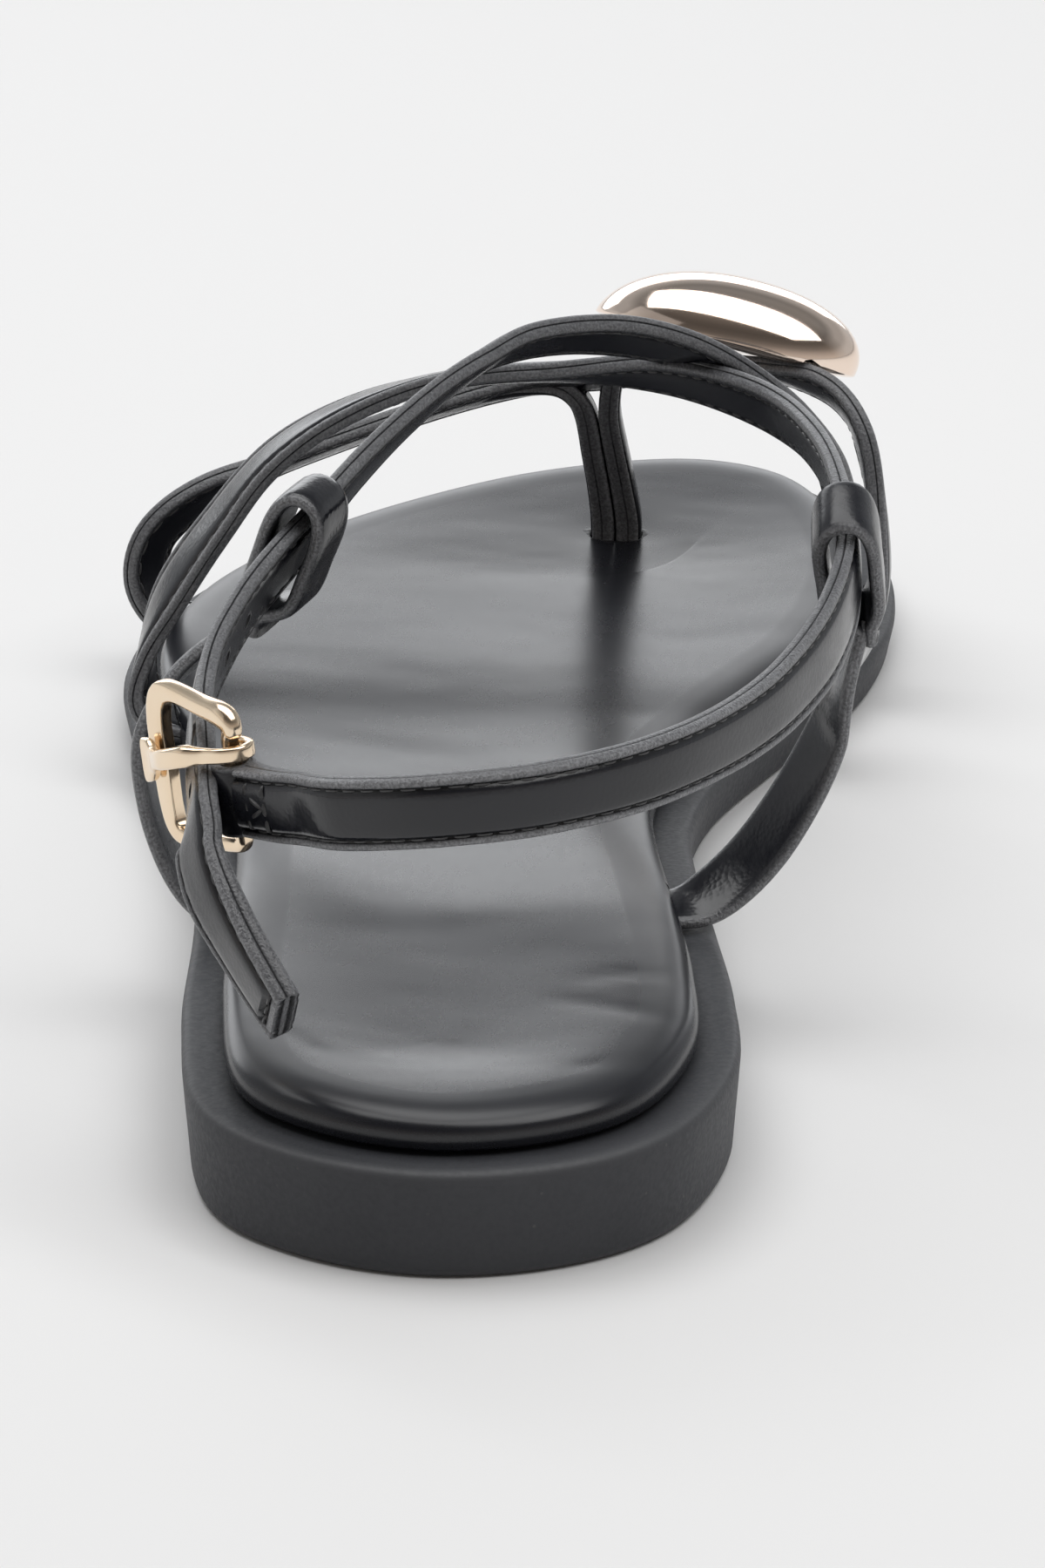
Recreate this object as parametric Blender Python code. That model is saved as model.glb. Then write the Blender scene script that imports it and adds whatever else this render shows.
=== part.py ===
"""Toe post sandal for the left foot: a one-piece rubber sole with a low heel block, a padded
footbed, crossed ankle and instep straps, a toe strap with its post, two strap keepers,
a centre-bar buckle with its prong, and a domed metal ornament.

Tables are in millimetres: x towards the medial (big toe) side, y forwards from the back of the
heel, z up from the floor.  The frame's origin is on the floor under the middle of the heel.
"""
import math

import bmesh
import bpy
from mathutils import Vector

# ---- driving sizes, millimetres ---------------------------------------------------------
MM = 0.001
GAP = 0.3                    # clearance between neighbouring pieces
HEEL_CENTRE = 32.0           # from the back of the heel to the frame's origin
SOLE_LENGTH = 249.6

HEEL_TOP = 13.0              # height of the sole's upper face over the heel block
FORE_TOP = 6.2               # and under the ball
SLOPE_START, SLOPE_END = 66.0, 152.0
SPRING_START = 200.0         # the toe rises from here
SPRING_RISE = 3.0
BREAST = 65.0                # front face of the heel block
BREAST_RISE = 6.8            # the arch starts this high in front of the heel block
ARCH_END = 150.0
WALL_TAPER = 0.8             # the sole's wall leans in towards the floor

BED_INSET = 4.8              # footbed edge, in from the sole's edge
BED_THICKNESS = 4.9
BED_DISH = 1.3               # the middle of the footbed sits this much lower

STRAP_WIDTH = 10.0
TOE_STRAP_WIDTH = 9.0
ANKLE_TAPER = (14.0, 17.0, 0.84)   # between these rows the ankle strap narrows to this share
KEEPER_WIDTH = 8.6
SKIVED = 0.2                 # the keepers' sewn ends are this much thinner and narrower
EDGE = 0.55                  # the straps' painted edges are eased by this much
STRAP_STEP = 3.2             # spacing of the straps' sections
KEEPER_STEP = 2.4

OUTLINE_STEPS = 46           # sections along each side of the sole

# The sole's edge seen from above, from the back of the heel round the medial side to the
# tip of the toe, and round the lateral side.  The heel is half a circle.
MEDIAL_EDGE = [
    # x, y
    (0.0, 0.0), (16.4, 4.6), (27.4, 15.6), (32.2, 34.0), (30.6, 54.0), (27.0, 74.0),
    (23.2, 96.0), (21.2, 116.0), (23.0, 136.0), (29.8, 156.0), (36.6, 172.0), (40.6, 187.0),
    (42.2, 202.0), (40.8, 218.0), (35.6, 234.0), (27.0, 245.0), (13.0, 249.6),
]
LATERAL_EDGE = [
    (0.0, 0.0), (-16.4, 4.6), (-28.0, 16.6), (-33.0, 41.0), (-35.4, 70.0), (-39.0, 98.0),
    (-46.4, 125.0), (-54.6, 151.0), (-58.2, 174.0), (-54.0, 198.0), (-41.4, 220.0),
    (-22.0, 237.6), (-4.0, 246.6), (13.0, 249.6),
]

# Routes of the straps' middle lines.  nx, ny, nz point out of the strap's outer face.
ANKLE_STRAP = [
    # x, y, z, nx, ny, nz, thickness
    (-41.0, 146.6, 8.1, 0.0, 0.0, -1.0, 2.4),
    (-47.6, 147.2, 8.2, -0.12, 0.0, -1.0, 2.4),
    (-51.7, 147.8, 10.4, -0.75, 0.08, -0.65, 2.4),
    (-52.2, 149.2, 16.0, -0.98, -0.1, -0.1, 2.4),
    (-49.2, 151.0, 24.2, -0.9, -0.32, 0.3, 2.4),
    (-43.0, 151.6, 33.8, -0.8, -0.25, 0.5, 2.4),
    (-35.4, 151.6, 43.4, -0.7, -0.1, 0.65, 2.4),
    (-25.0, 151.2, 50.4, -0.5, 0.1, 0.8, 2.4),
    (-11.6, 149.2, 55.4, -0.2, 0.3, 0.9, 2.4),
    (4.0, 146.0, 57.9, 0.0, 0.4, 0.9, 2.4),
    (18.0, 138.6, 59.9, 0.3, 0.6, 0.7, 2.4),
    (30.6, 126.0, 60.0, 0.65, 0.5, 0.5, 2.4),
    (37.6, 108.0, 60.0, 0.88, 0.3, 0.3, 2.4),
    (41.1, 89.6, 58.6, 0.97, 0.1, 0.15, 2.4),
    (41.8, 74.0, 56.0, 1.0, -0.05, 0.08, 2.4),
    (39.2, 57.0, 53.9, 0.95, -0.28, 0.05, 2.4),
    (33.4, 39.0, 53.2, 0.85, -0.5, 0.0, 2.4),
    (24.4, 21.0, 54.2, 0.65, -0.76, 0.0, 2.4),
    (13.0, 9.6, 54.8, 0.34, -0.94, 0.0, 2.4),
    (1.0, 6.0, 54.2, 0.0, -1.0, 0.0, 2.4),
    (-10.0, 10.4, 51.6, -0.44, -0.9, 0.0, 2.4),
    (-15.6, 16.4, 49.6, -0.7, -0.7, -0.03, 2.4),
    (-19.2, 20.5, 48.3, -0.76, -0.64, -0.07, 3.4),
    (-23.7, 25.6, 47.1, -0.76, -0.64, -0.07, 3.4),
]
TAIL_STRAP = [
    (20.0, 162.0, 7.9, 0.0, 0.0, -1.0, 2.4),
    (27.2, 162.0, 8.0, 0.12, 0.0, -1.0, 2.4),
    (32.0, 162.2, 10.0, 0.7, 0.1, -0.7, 2.4),
    (34.8, 162.6, 16.0, 0.95, 0.1, -0.35, 2.4),
    (36.8, 161.6, 26.0, 0.97, 0.2, -0.1, 2.4),
    (36.8, 157.4, 37.0, 0.93, 0.35, 0.15, 2.4),
    (34.6, 150.8, 47.2, 0.78, 0.5, 0.42, 2.4),
    (29.6, 142.2, 56.0, 0.55, 0.6, 0.58, 2.4),
    (24.2, 136.2, 61.8, 0.4, 0.62, 0.66, 2.4),
    (16.6, 133.0, 66.2, 0.2, 0.66, 0.7, 2.4),
    (7.3, 128.0, 69.0, 0.0, 0.68, 0.72, 2.4),
    (-1.5, 120.0, 70.0, -0.2, 0.62, 0.74, 2.4),
    (-6.6, 112.4, 68.9, -0.4, 0.52, 0.72, 2.4),
    (-12.2, 102.6, 66.6, -0.6, 0.42, 0.62, 2.4),
    (-17.8, 90.0, 63.4, -0.76, 0.3, 0.5, 2.4),
    (-22.2, 78.0, 60.0, -0.88, 0.2, 0.36, 2.4),
    (-26.8, 66.0, 56.8, -0.94, 0.0, 0.24, 2.4),
    (-29.2, 56.0, 54.3, -0.96, -0.15, 0.15, 2.4),
    (-30.2, 48.0, 52.4, -0.95, -0.25, 0.1, 2.4),
    (-30.2, 41.0, 50.6, -0.93, -0.35, 0.08, 2.4),
    (-29.4, 34.4, 48.8, -0.9, -0.42, 0.06, 2.4),
    (-28.4, 28.2, 46.4, -0.86, -0.5, 0.02, 2.4),
    (-28.0, 23.2, 44.2, -0.8, -0.6, 0.0, 2.4),
    (-27.6, 20.2, 41.6, -0.78, -0.62, 0.0, 2.4),
    (-25.7, 17.0, 38.4, -0.8, -0.56, 0.0, 2.9),
    (-22.0, 13.0, 33.9, -0.82, -0.5, -0.1, 3.2),
    (-16.7, 7.6, 28.2, -0.82, -0.48, -0.2, 3.3),
]
TOE_STRAP = [
    (-46.6, 186.6, 7.9, 0.0, 0.0, -1.0, 2.4),
    (-52.4, 185.8, 8.0, -0.12, 0.0, -1.0, 2.4),
    (-55.7, 184.8, 10.2, -0.75, 0.2, -0.6, 2.4),
    (-57.0, 183.8, 15.6, -0.9, 0.42, -0.05, 2.4),
    (-55.2, 184.2, 21.0, -0.8, 0.5, 0.35, 2.4),
    (-49.2, 187.4, 25.4, -0.45, 0.6, 0.7, 2.4),
    (-41.0, 192.6, 27.7, -0.3, 0.5, 0.83, 2.4),
    (-26.0, 202.0, 31.1, -0.18, 0.5, 0.86, 2.4),
    (-9.5, 209.4, 34.4, -0.1, 0.5, 0.86, 2.4),
    (2.0, 210.8, 35.4, -0.12, 0.48, 0.87, 2.4),
    (11.5, 208.0, 37.6, -0.1, 0.44, 0.88, 2.4),
    (20.5, 203.4, 39.9, 0.15, 0.38, 0.9, 2.4),
    (27.6, 199.2, 40.4, 0.38, 0.38, 0.84, 2.4),
    (34.0, 193.6, 39.9, 0.65, 0.4, 0.62, 2.4),
    (38.2, 187.6, 36.4, 0.88, 0.3, 0.35, 2.4),
    (40.3, 185.6, 27.0, 1.0, 0.1, 0.1, 2.4),
    (41.0, 185.4, 17.0, 1.0, 0.0, -0.1, 2.4),
    (39.4, 185.6, 10.4, 0.75, 0.0, -0.65, 2.4),
    (35.4, 185.6, 8.0, 0.12, 0.0, -1.0, 2.4),
    (28.6, 185.4, 7.9, 0.0, 0.0, -1.0, 2.4),
]
LATERAL_KEEPER = [
    (-23.0, 70.0, 14.4, 0.0, 0.0, -1.0, 1.8),
    (-30.6, 70.0, 14.5, -0.12, 0.0, -1.0, 1.8),
    (-34.8, 69.4, 16.2, -0.6, 0.0, -0.8, 1.8),
    (-38.0, 68.6, 21.6, -0.93, 0.0, -0.35, 1.8),
    (-40.4, 68.2, 29.6, -1.0, 0.0, 0.0, 1.8),
    (-41.0, 69.4, 36.6, -0.97, 0.05, 0.2, 1.8),
    (-38.0, 72.4, 42.6, -0.85, 0.12, 0.5, 1.8),
    (-33.4, 75.4, 46.4, -0.8, 0.18, 0.55, 1.8),
]
MEDIAL_KEEPER = [
    (14.5, 74.6, 14.4, 0.0, 0.0, -1.0, 1.8),
    (21.6, 75.2, 14.5, 0.05, 0.1, -1.0, 1.8),
    (26.2, 76.4, 16.0, 0.25, 0.4, -0.88, 1.8),
    (31.4, 78.6, 20.6, 0.45, 0.55, -0.7, 1.8),
    (36.0, 80.8, 27.4, 0.66, 0.58, -0.45, 1.8),
    (39.4, 82.2, 34.6, 0.8, 0.5, -0.28, 1.8),
    (41.4, 82.6, 41.4, 0.95, 0.2, -0.15, 1.8),
]
# A keeper's end goes up the outside of the strap it holds, over its edge, back down inside it
# and is stitched to itself: up along the keeper, out from the strap, and the outward direction.
KEEPER_LOOP = [
    # up, out, n_up, n_out
    (-11.2, 1.4, 0.0, 1.0),
    (-8.9, 1.6, -0.1, 1.0),
    (-5.9, 2.75, -0.25, 1.0),
    (-1.0, 2.95, 0.0, 1.0),
    (3.9, 2.95, 0.15, 1.0),
    (6.9, 1.95, 0.75, 0.7),
    (7.8, 0.0, 1.0, 0.0),
    (6.9, -2.1, 0.75, -0.7),
    (3.9, -3.25, 0.15, -1.0),
    (-1.0, -3.3, 0.0, -1.0),
    (-5.9, -2.95, -0.3, -1.0),
    (-8.9, 0.05, -0.3, -1.0),
    (-11.2, -0.1, 0.0, -1.0),
]
# the post's section: width across the foot and depth along it
TOE_POST = [
    # x, y, z, width, depth
    (3.3, 216.4, 3.6, 6.8, 4.4),
    (3.3, 216.4, 13.0, 6.8, 4.4),
    (2.4, 215.4, 20.0, 6.4, 4.2),
    (1.5, 213.8, 27.0, 6.6, 4.2),
    (1.4, 212.2, 32.2, 10.0, 4.4),
    (1.6, 211.2, 35.0, 14.0, 4.4),
]

LATERAL_LOOP = (16.25, 0.25)         # rows of the two long routes, from 1, and the lean
MEDIAL_LOOP = (14.45, -0.2)

# Buckle: u runs from its hinge bar to its tip bar, w up along the bars, n out of its face.
HINGE = (-24.0, 26.0, 47.9)
BUCKLE_U = (-0.63, 0.766, -0.12)
BUCKLE_W = (-0.1, 0.0, 0.995)
BUCKLE_FRAME = [
    # u, w, width, thickness
    (0.0, -5.2, 1.9, 1.9),
    (0.0, 0.0, 1.9, 1.9),
    (0.0, 5.7, 1.9, 1.9),
    (-0.7, 7.2, 2.4, 2.3),
    (0.5, 8.5, 3.0, 2.6),
    (5.0, 8.9, 2.7, 2.2),
    (11.6, 9.4, 2.6, 2.0),
    (14.4, 8.2, 3.0, 1.9),
    (15.6, 5.0, 3.3, 1.8),
    (15.6, 0.0, 3.4, 1.8),
    (15.6, -5.0, 3.0, 1.8),
    (14.8, -7.6, 2.4, 1.9),
    (12.6, -8.4, 2.0, 1.9),
    (7.5, -7.8, 1.9, 1.9),
    (2.2, -7.1, 1.9, 1.9),
    (0.4, -6.6, 1.8, 1.9),
]
STRAP_EYE_WALL = 1.25
STRAP_ON_HINGE = -0.9        # the ankle strap sits this far along the hinge bar
PRONG = [
    # u, w, n, width, thickness
    (2.0, 4.68, 0.0, 1.8, 1.1),
    (1.15, 4.68, -1.8, 1.8, 1.1),
    (-1.15, 4.68, -1.8, 1.8, 1.1),
    (-2.1, 4.68, 0.0, 1.8, 1.1),
    (-1.1, 4.68, 1.95, 1.8, 1.1),
    (1.2, 4.6, 3.2, 1.9, 1.2),
    (3.0, 4.6, 4.5, 2.5, 2.1),
    (7.0, 3.5, 4.6, 2.5, 2.1),
    (11.0, 2.3, 3.4, 2.4, 1.8),
    (13.4, 1.5, 2.5, 3.2, 1.4),
    (14.8, 1.1, 2.1, 5.0, 1.3),
    (16.6, 0.7, 1.85, 5.4, 1.1),
]

# Ornament: half sizes along the toe strap, across it and through it
ORNAMENT_ROW = 12
ORNAMENT_SIZE = (17.9, 13.4, 9.2)
ORNAMENT_LIFT = 1.9
ORNAMENT_RIM = 0.8           # its widest level, above its back
ORNAMENT_SKEW = 2.6          # its top leans this far along its long axis
ORNAMENT_SHIFT = -3.2        # along its long axis
ORNAMENT_TILT = (0.22, 0.34, 0.91)
ORNAMENT_LONG_AXIS = (0.92, -0.36, -0.16)


# ---- helpers ---------------------------------------------------------------------------
def to_frame(point):
    """A point of the tables as a point of the frame, in metres."""
    x, y, z = point
    return Vector((x * MM, (y - HEEL_CENTRE) * MM, z * MM))


def ease(value, start, end):
    """0 before start, 1 after end, and a smooth S between them."""
    t = min(1.0, max(0.0, (value - start) / (end - start)))
    return t * t * (3.0 - 2.0 * t)


def catmull(rows, position):
    """The smooth curve through the rows, read at a row number that may be fractional."""
    last = len(rows) - 1
    index = min(int(position), last - 1)
    t = position - index
    before = rows[max(index - 1, 0)]
    here = rows[index]
    after = rows[index + 1]
    beyond = rows[min(index + 2, last)]
    values = []
    for p0, p1, p2, p3 in zip(before, here, after, beyond):
        curve = (2.0 * p1 + (p2 - p0) * t
                 + (2.0 * p0 - 5.0 * p1 + 4.0 * p2 - p3) * t * t
                 + (3.0 * p1 - p0 - 3.0 * p2 + p3) * t * t * t)
        values.append(0.5 * curve)
    return values


def spaced_positions(rows, size, step):
    """Row numbers spaced evenly along the curve; size is how many columns are coordinates."""
    fine = 24
    total = (len(rows) - 1) * fine
    places = [catmull(rows, i / fine)[:size] for i in range(total + 1)]
    lengths = [0.0]
    for first, second in zip(places, places[1:]):
        lengths.append(lengths[-1] + math.dist(first, second))
    count = max(2, round(lengths[-1] / step))
    positions = []
    at = 0
    for i in range(count + 1):
        target = lengths[-1] * i / count
        while at < total - 1 and lengths[at + 1] < target:
            at += 1
        span = max(lengths[at + 1] - lengths[at], 1e-9)
        positions.append((at + min(1.0, (target - lengths[at]) / span)) / fine)
    return positions


def new_object(name, vertices, faces, material=None):
    """An object from vertices in metres, with its faces turned outwards."""
    mesh = bpy.data.meshes.new(name)
    mesh.from_pydata([tuple(v) for v in vertices], [], faces)
    work = bmesh.new()
    work.from_mesh(mesh)
    bmesh.ops.remove_doubles(work, verts=work.verts, dist=1e-7)
    bmesh.ops.recalc_face_normals(work, faces=work.faces)
    work.to_mesh(mesh)
    work.free()
    made = bpy.data.objects.new(name, mesh)
    bpy.context.scene.collection.objects.link(made)
    if material is not None:
        mesh.materials.append(material)
    return made


def combine(base, others, operation):
    """Unite the others with the base, or cut them from it, and remove them."""
    for other in others:
        modifier = base.modifiers.new("combine", "BOOLEAN")
        modifier.operation = operation
        modifier.solver = "EXACT"
        modifier.object = other
        bpy.context.view_layer.update()
        graph = bpy.context.evaluated_depsgraph_get()
        mesh = bpy.data.meshes.new_from_object(base.evaluated_get(graph))
        base.modifiers.clear()
        base.data = mesh
        bpy.data.objects.remove(other)
    work = bmesh.new()
    work.from_mesh(base.data)
    bmesh.ops.remove_doubles(work, verts=work.verts, dist=2e-6)
    bmesh.ops.dissolve_degenerate(work, edges=work.edges, dist=2e-6)
    bmesh.ops.triangulate(work, faces=work.faces)
    work.to_mesh(base.data)
    work.free()
    return base


def material(name, colour, roughness, metallic=0.0):
    made = bpy.data.materials.new(name)
    made.use_nodes = True
    shader = made.node_tree.nodes["Principled BSDF"]
    shader.inputs["Base Color"].default_value = (*colour, 1.0)
    shader.inputs["Roughness"].default_value = roughness
    shader.inputs["Metallic"].default_value = metallic
    return made


def loft(name, rings, closed=False, made_of=None):
    """A tube through rings of points in metres, capped unless it closes on itself."""
    count = len(rings[0])
    vertices = [point for ring in rings for point in ring]
    faces = []
    spans = len(rings) if closed else len(rings) - 1
    for r in range(spans):
        low = r * count
        high = ((r + 1) % len(rings)) * count
        for i in range(count):
            j = (i + 1) % count
            faces.append((low + i, low + j, high + j, high + i))
    if not closed:
        faces.append(tuple(range(count)))
        faces.append(tuple(range(len(vertices) - count, len(vertices))))
    return new_object(name, vertices, faces, made_of)


# ---- sole and footbed ------------------------------------------------------------------
def edge_points(rows, opposite):
    """Evenly spaced points of one edge; the opposite edge carries its curve past both ends."""
    carried_on = [opposite[1]] + rows + [opposite[-2]]
    fine = 24
    places = [catmull(carried_on, i / fine) for i in range(fine, len(rows) * fine + 1)]
    lengths = [0.0]
    for first, second in zip(places, places[1:]):
        lengths.append(lengths[-1] + math.dist(first, second))
    points = []
    at = 0
    for i in range(OUTLINE_STEPS + 1):
        target = lengths[-1] * i / OUTLINE_STEPS
        while at < len(places) - 2 and lengths[at + 1] < target:
            at += 1
        share = min(1.0, (target - lengths[at]) / (lengths[at + 1] - lengths[at]))
        (x0, y0), (x1, y1) = places[at], places[at + 1]
        points.append((x0 + (x1 - x0) * share, y0 + (y1 - y0) * share))
    return points


def outline():
    """The sole's edge as one ring: up the medial side to the toe, and down the lateral side."""
    medial = edge_points(MEDIAL_EDGE, LATERAL_EDGE)
    lateral = edge_points(LATERAL_EDGE, MEDIAL_EDGE)
    return medial + lateral[-2:0:-1]


def inset(ring, distance):
    """The ring moved inwards by a distance."""
    moved = []
    for i, (x, y) in enumerate(ring):
        x0, y0 = ring[i - 1]
        x1, y1 = ring[(i + 1) % len(ring)]
        length = math.hypot(x1 - x0, y1 - y0)
        moved.append((x - (y1 - y0) / length * distance, y + (x1 - x0) / length * distance))
    return moved


def towards_spine(ring, share):
    """The ring drawn towards the line along the middle of the shoe."""
    count = len(ring)
    moved = []
    for i, (x, y) in enumerate(ring):
        across = ring[(count - i) % count]
        middle_x = (x + across[0]) / 2.0
        middle_y = min(max((y + across[1]) / 2.0, 30.0), 218.0)
        moved.append((x + (middle_x - x) * share, y + (middle_y - y) * share))
    return moved


def spring(y):
    rise = max(0.0, (y - SPRING_START) / (SOLE_LENGTH - SPRING_START))
    return SPRING_RISE * rise * rise


def sole_top(y):
    return HEEL_TOP + (FORE_TOP - HEEL_TOP) * ease(y, SLOPE_START, SLOPE_END) + spring(y)


def layered(name, layers, made_of):
    """A closed solid from rings of (outline, height), bottom to top, with strips as its caps."""
    count = len(layers[0])
    half = count // 2
    vertices = [to_frame(point) for layer in layers for point in layer]
    faces = []
    for r in range(len(layers) - 1):
        for i in range(count):
            j = (i + 1) % count
            faces.append((r * count + i, r * count + j, (r + 1) * count + j, (r + 1) * count + i))
    for start in (0, (len(layers) - 1) * count):
        faces.append((start, start + 1, start + count - 1))
        for i in range(1, half - 1):
            faces.append((start + i, start + i + 1, start + count - i - 1, start + count - i))
        faces.append((start + half - 1, start + half, start + half + 1))
    return new_object(name, vertices, faces, made_of)


def arch_cutter():
    """The space under the arch: from the heel block's front face down to the ball."""
    profile = [(BREAST - 0.6, -5.0), (BREAST - 0.6, 0.0), (BREAST + 0.4, BREAST_RISE - 1.2),
               (BREAST + 1.6, BREAST_RISE)]
    steps = 12
    for i in range(1, steps + 1):
        y = BREAST + 1.6 + (ARCH_END - BREAST - 1.6) * i / steps
        profile.append((y, BREAST_RISE * (1.0 - ease(y, BREAST - 30.0, ARCH_END)) / (
            1.0 - ease(BREAST + 1.6, BREAST - 30.0, ARCH_END))))
    profile[-1] = (ARCH_END, -0.001)
    profile.append((ARCH_END, -5.0))
    rings = [[to_frame((x, y, z)) for y, z in profile] for x in (-80.0, 80.0)]
    return loft("arch_cutter", rings)


def build_sole(rubber):
    ring = outline()
    floor = [(x, y, spring(y)) for x, y in inset(ring, WALL_TAPER + 0.8)]
    foot = [(x, y, spring(y) + 0.8) for x, y in inset(ring, WALL_TAPER)]
    rim = [(x, y, sole_top(y) - 0.7) for x, y in ring]
    top = [(x, y, sole_top(y)) for x, y in inset(ring, 0.7)]
    inner = [(x, y, sole_top(y)) for x, y in towards_spine(inset(ring, 0.7), 0.45)]
    sole = layered("outsole", [floor, foot, rim, top, inner], rubber)
    return combine(sole, [arch_cutter(), post_seat()], "DIFFERENCE")


def build_footbed(leather):
    ring = outline()
    sides = [
        # inset from the sole's edge, height above the sole
        (BED_INSET + 0.5, GAP + 0.1),
        (BED_INSET, GAP + 0.8),
        (BED_INSET, BED_THICKNESS - 2.0),
        (BED_INSET + 0.6, BED_THICKNESS - 0.9),
        (BED_INSET + 2.0, BED_THICKNESS - 0.2),
        (BED_INSET + 4.0, BED_THICKNESS),
    ]
    layers = [[(x, y, sole_top(y) + height) for x, y in inset(ring, distance)]
              for distance, height in sides]
    edge = inset(ring, BED_INSET + 4.0)
    for share, drop in ((0.25, 0.45), (0.55, 0.85), (0.8, 1.0)):
        lowered = towards_spine(edge, share)
        layers.append([(x, y, sole_top(y) + BED_THICKNESS - BED_DISH * drop) for x, y in lowered])
    footbed = layered("insole", layers, leather)
    return combine(footbed, seats(), "DIFFERENCE")


# ---- straps ----------------------------------------------------------------------------
def strap_axes(rows, position):
    """Place, direction, width and outward axes of a strap, in the tables' millimetres."""
    here = catmull(rows, position)
    before = catmull(rows, max(position - 0.05, 0.0))
    after = catmull(rows, min(position + 0.05, len(rows) - 1.0))
    along = Vector([b - a for a, b in zip(before[:3], after[:3])]).normalized()
    out = Vector(here[3:6])
    out = (out - along * out.dot(along)).normalized()
    return Vector(here[:3]), along, along.cross(out), out, here[6]


def strap_section(axes, width, grow=0.0):
    """Eight corners of a flat strap with eased edges."""
    place, _, across, out, thickness = axes
    half_w = width / 2.0 + grow
    half_t = thickness / 2.0 + grow
    corners = [(-half_w, -half_t + EDGE), (-half_w, half_t - EDGE), (-half_w + EDGE, half_t),
               (half_w - EDGE, half_t), (half_w, half_t - EDGE), (half_w, -half_t + EDGE),
               (half_w - EDGE, -half_t), (-half_w + EDGE, -half_t)]
    return [to_frame(place + across * a + out * b) for a, b in corners]


def narrowed(position, taper):
    """The share of its width a strap keeps at a row."""
    start, end, share = taper
    return 1.0 + (share - 1.0) * ease(position, start, end)


def strap(name, rows, width, made_of=None, step=STRAP_STEP, taper=(0.0, 1.0, 1.0)):
    rings = [strap_section(strap_axes(rows, p), width * narrowed(p, taper))
             for p in spaced_positions(rows, 3, step)]
    return loft(name, rings, made_of=made_of)


def seat(rows, width, step, from_end=False, reach=2.6, room=GAP):
    """The pocket for one end of a strap: the end grown by its room, and run a little deeper.
    reach is how many rows of the route it follows."""
    last = len(rows) - 1.0
    rings = []
    for position in spaced_positions(rows, 3, step):
        from_the_end = last - position if from_end else position
        if from_the_end > reach:
            continue
        axes = list(strap_axes(rows, position))
        if from_the_end < 1e-6:
            axes[0] = axes[0] + axes[1] * (room if from_end else -room)
        rings.append(strap_section(axes, width, room))
    return loft("seat", rings)


def post_section(row, grow=0.0):
    x, y, z, width, depth = row
    half_w = width / 2.0 + grow
    half_d = depth / 2.0 + grow
    corners = []
    for i in range(12):
        angle = math.tau * i / 12.0
        c = math.cos(angle)
        s = math.sin(angle)
        corners.append((math.copysign(abs(c) ** 0.6, c) * half_w,
                        math.copysign(abs(s) ** 0.6, s) * half_d))
    return [to_frame((x + a, y + b, z)) for a, b in corners]


def post_seat():
    low = list(TOE_POST[0])
    low[2] -= GAP
    return loft("post_seat", [post_section(low, GAP + 0.05), post_section(TOE_POST[1], GAP + 0.05)])


def toe_post():
    positions = spaced_positions(TOE_POST, 3, 3.0)
    return loft("toe_post", [post_section(catmull(TOE_POST, p)) for p in positions])


def seats():
    """Fresh pockets in the footbed for every strap that runs in under it, and for the post."""
    return [
        seat(ANKLE_STRAP, STRAP_WIDTH, STRAP_STEP),
        seat(TAIL_STRAP, STRAP_WIDTH, STRAP_STEP, room=GAP + 0.15),
        seat(TOE_STRAP, TOE_STRAP_WIDTH, STRAP_STEP),
        seat(TOE_STRAP, TOE_STRAP_WIDTH, STRAP_STEP, True),
        seat(keeper_stem(LATERAL_KEEPER, TAIL_STRAP, LATERAL_LOOP), KEEPER_WIDTH,
             KEEPER_STEP),
        seat(keeper_stem(MEDIAL_KEEPER, ANKLE_STRAP, MEDIAL_LOOP), KEEPER_WIDTH,
             KEEPER_STEP, reach=3.0, room=GAP + 0.2),
        post_seat(),
    ]


def looped(rows, held, loop):
    """A keeper's route with its loop round the strap it holds added to it."""
    row_number, lean_by = loop
    place, along, across, out, _ = strap_axes(held, row_number - 1.0)
    up = across if across.z > 0.0 else -across
    lean = (up - along * lean_by).normalized()
    thickness = rows[-1][6]
    route = list(rows)
    for a, b, n_up, n_out in KEEPER_LOOP:
        point = place + lean * a + out * b
        normal = lean * n_up + out * n_out
        route.append((*point, *normal, thickness))
    return route


def keeper_stem(rows, held, loop):
    route = looped(rows, held, loop)
    return route[:len(route) - 4]


def build_keeper(name, rows, held, loop, leather):
    route = looped(rows, held, loop)
    # the stitched end is a slightly thinner strap of its own, let into the rest of the loop
    made = strap(name, keeper_stem(rows, held, loop), KEEPER_WIDTH, leather, KEEPER_STEP)
    end_rows = [(*row[:6], row[6] - SKIVED) for row in route[len(route) - 6:]]
    end = strap("stitched_end", end_rows, KEEPER_WIDTH - SKIVED, None, KEEPER_STEP)
    return combine(made, [end], "UNION")


# ---- buckle ----------------------------------------------------------------------------
def buckle_axes():
    along = Vector(BUCKLE_U).normalized()
    up = Vector(BUCKLE_W)
    up = (up - along * up.dot(along)).normalized()
    return along, up, up.cross(along)


def buckle_point(u, w, n):
    """A point given in the buckle's own axes, in the tables' millimetres."""
    along, up, out = buckle_axes()
    return Vector(HINGE) + along * u + up * w + out * n


def buckle_rod(name, radius, half_length, sides=14):
    """A round bar about the hinge."""
    rings = []
    for w in (-half_length, half_length):
        ring = []
        for i in range(sides):
            angle = math.tau * (i + 0.5) / sides
            ring.append(to_frame(buckle_point(radius * math.cos(angle), w,
                                              radius * math.sin(angle))))
        rings.append(ring)
    return loft(name, rings)


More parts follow.
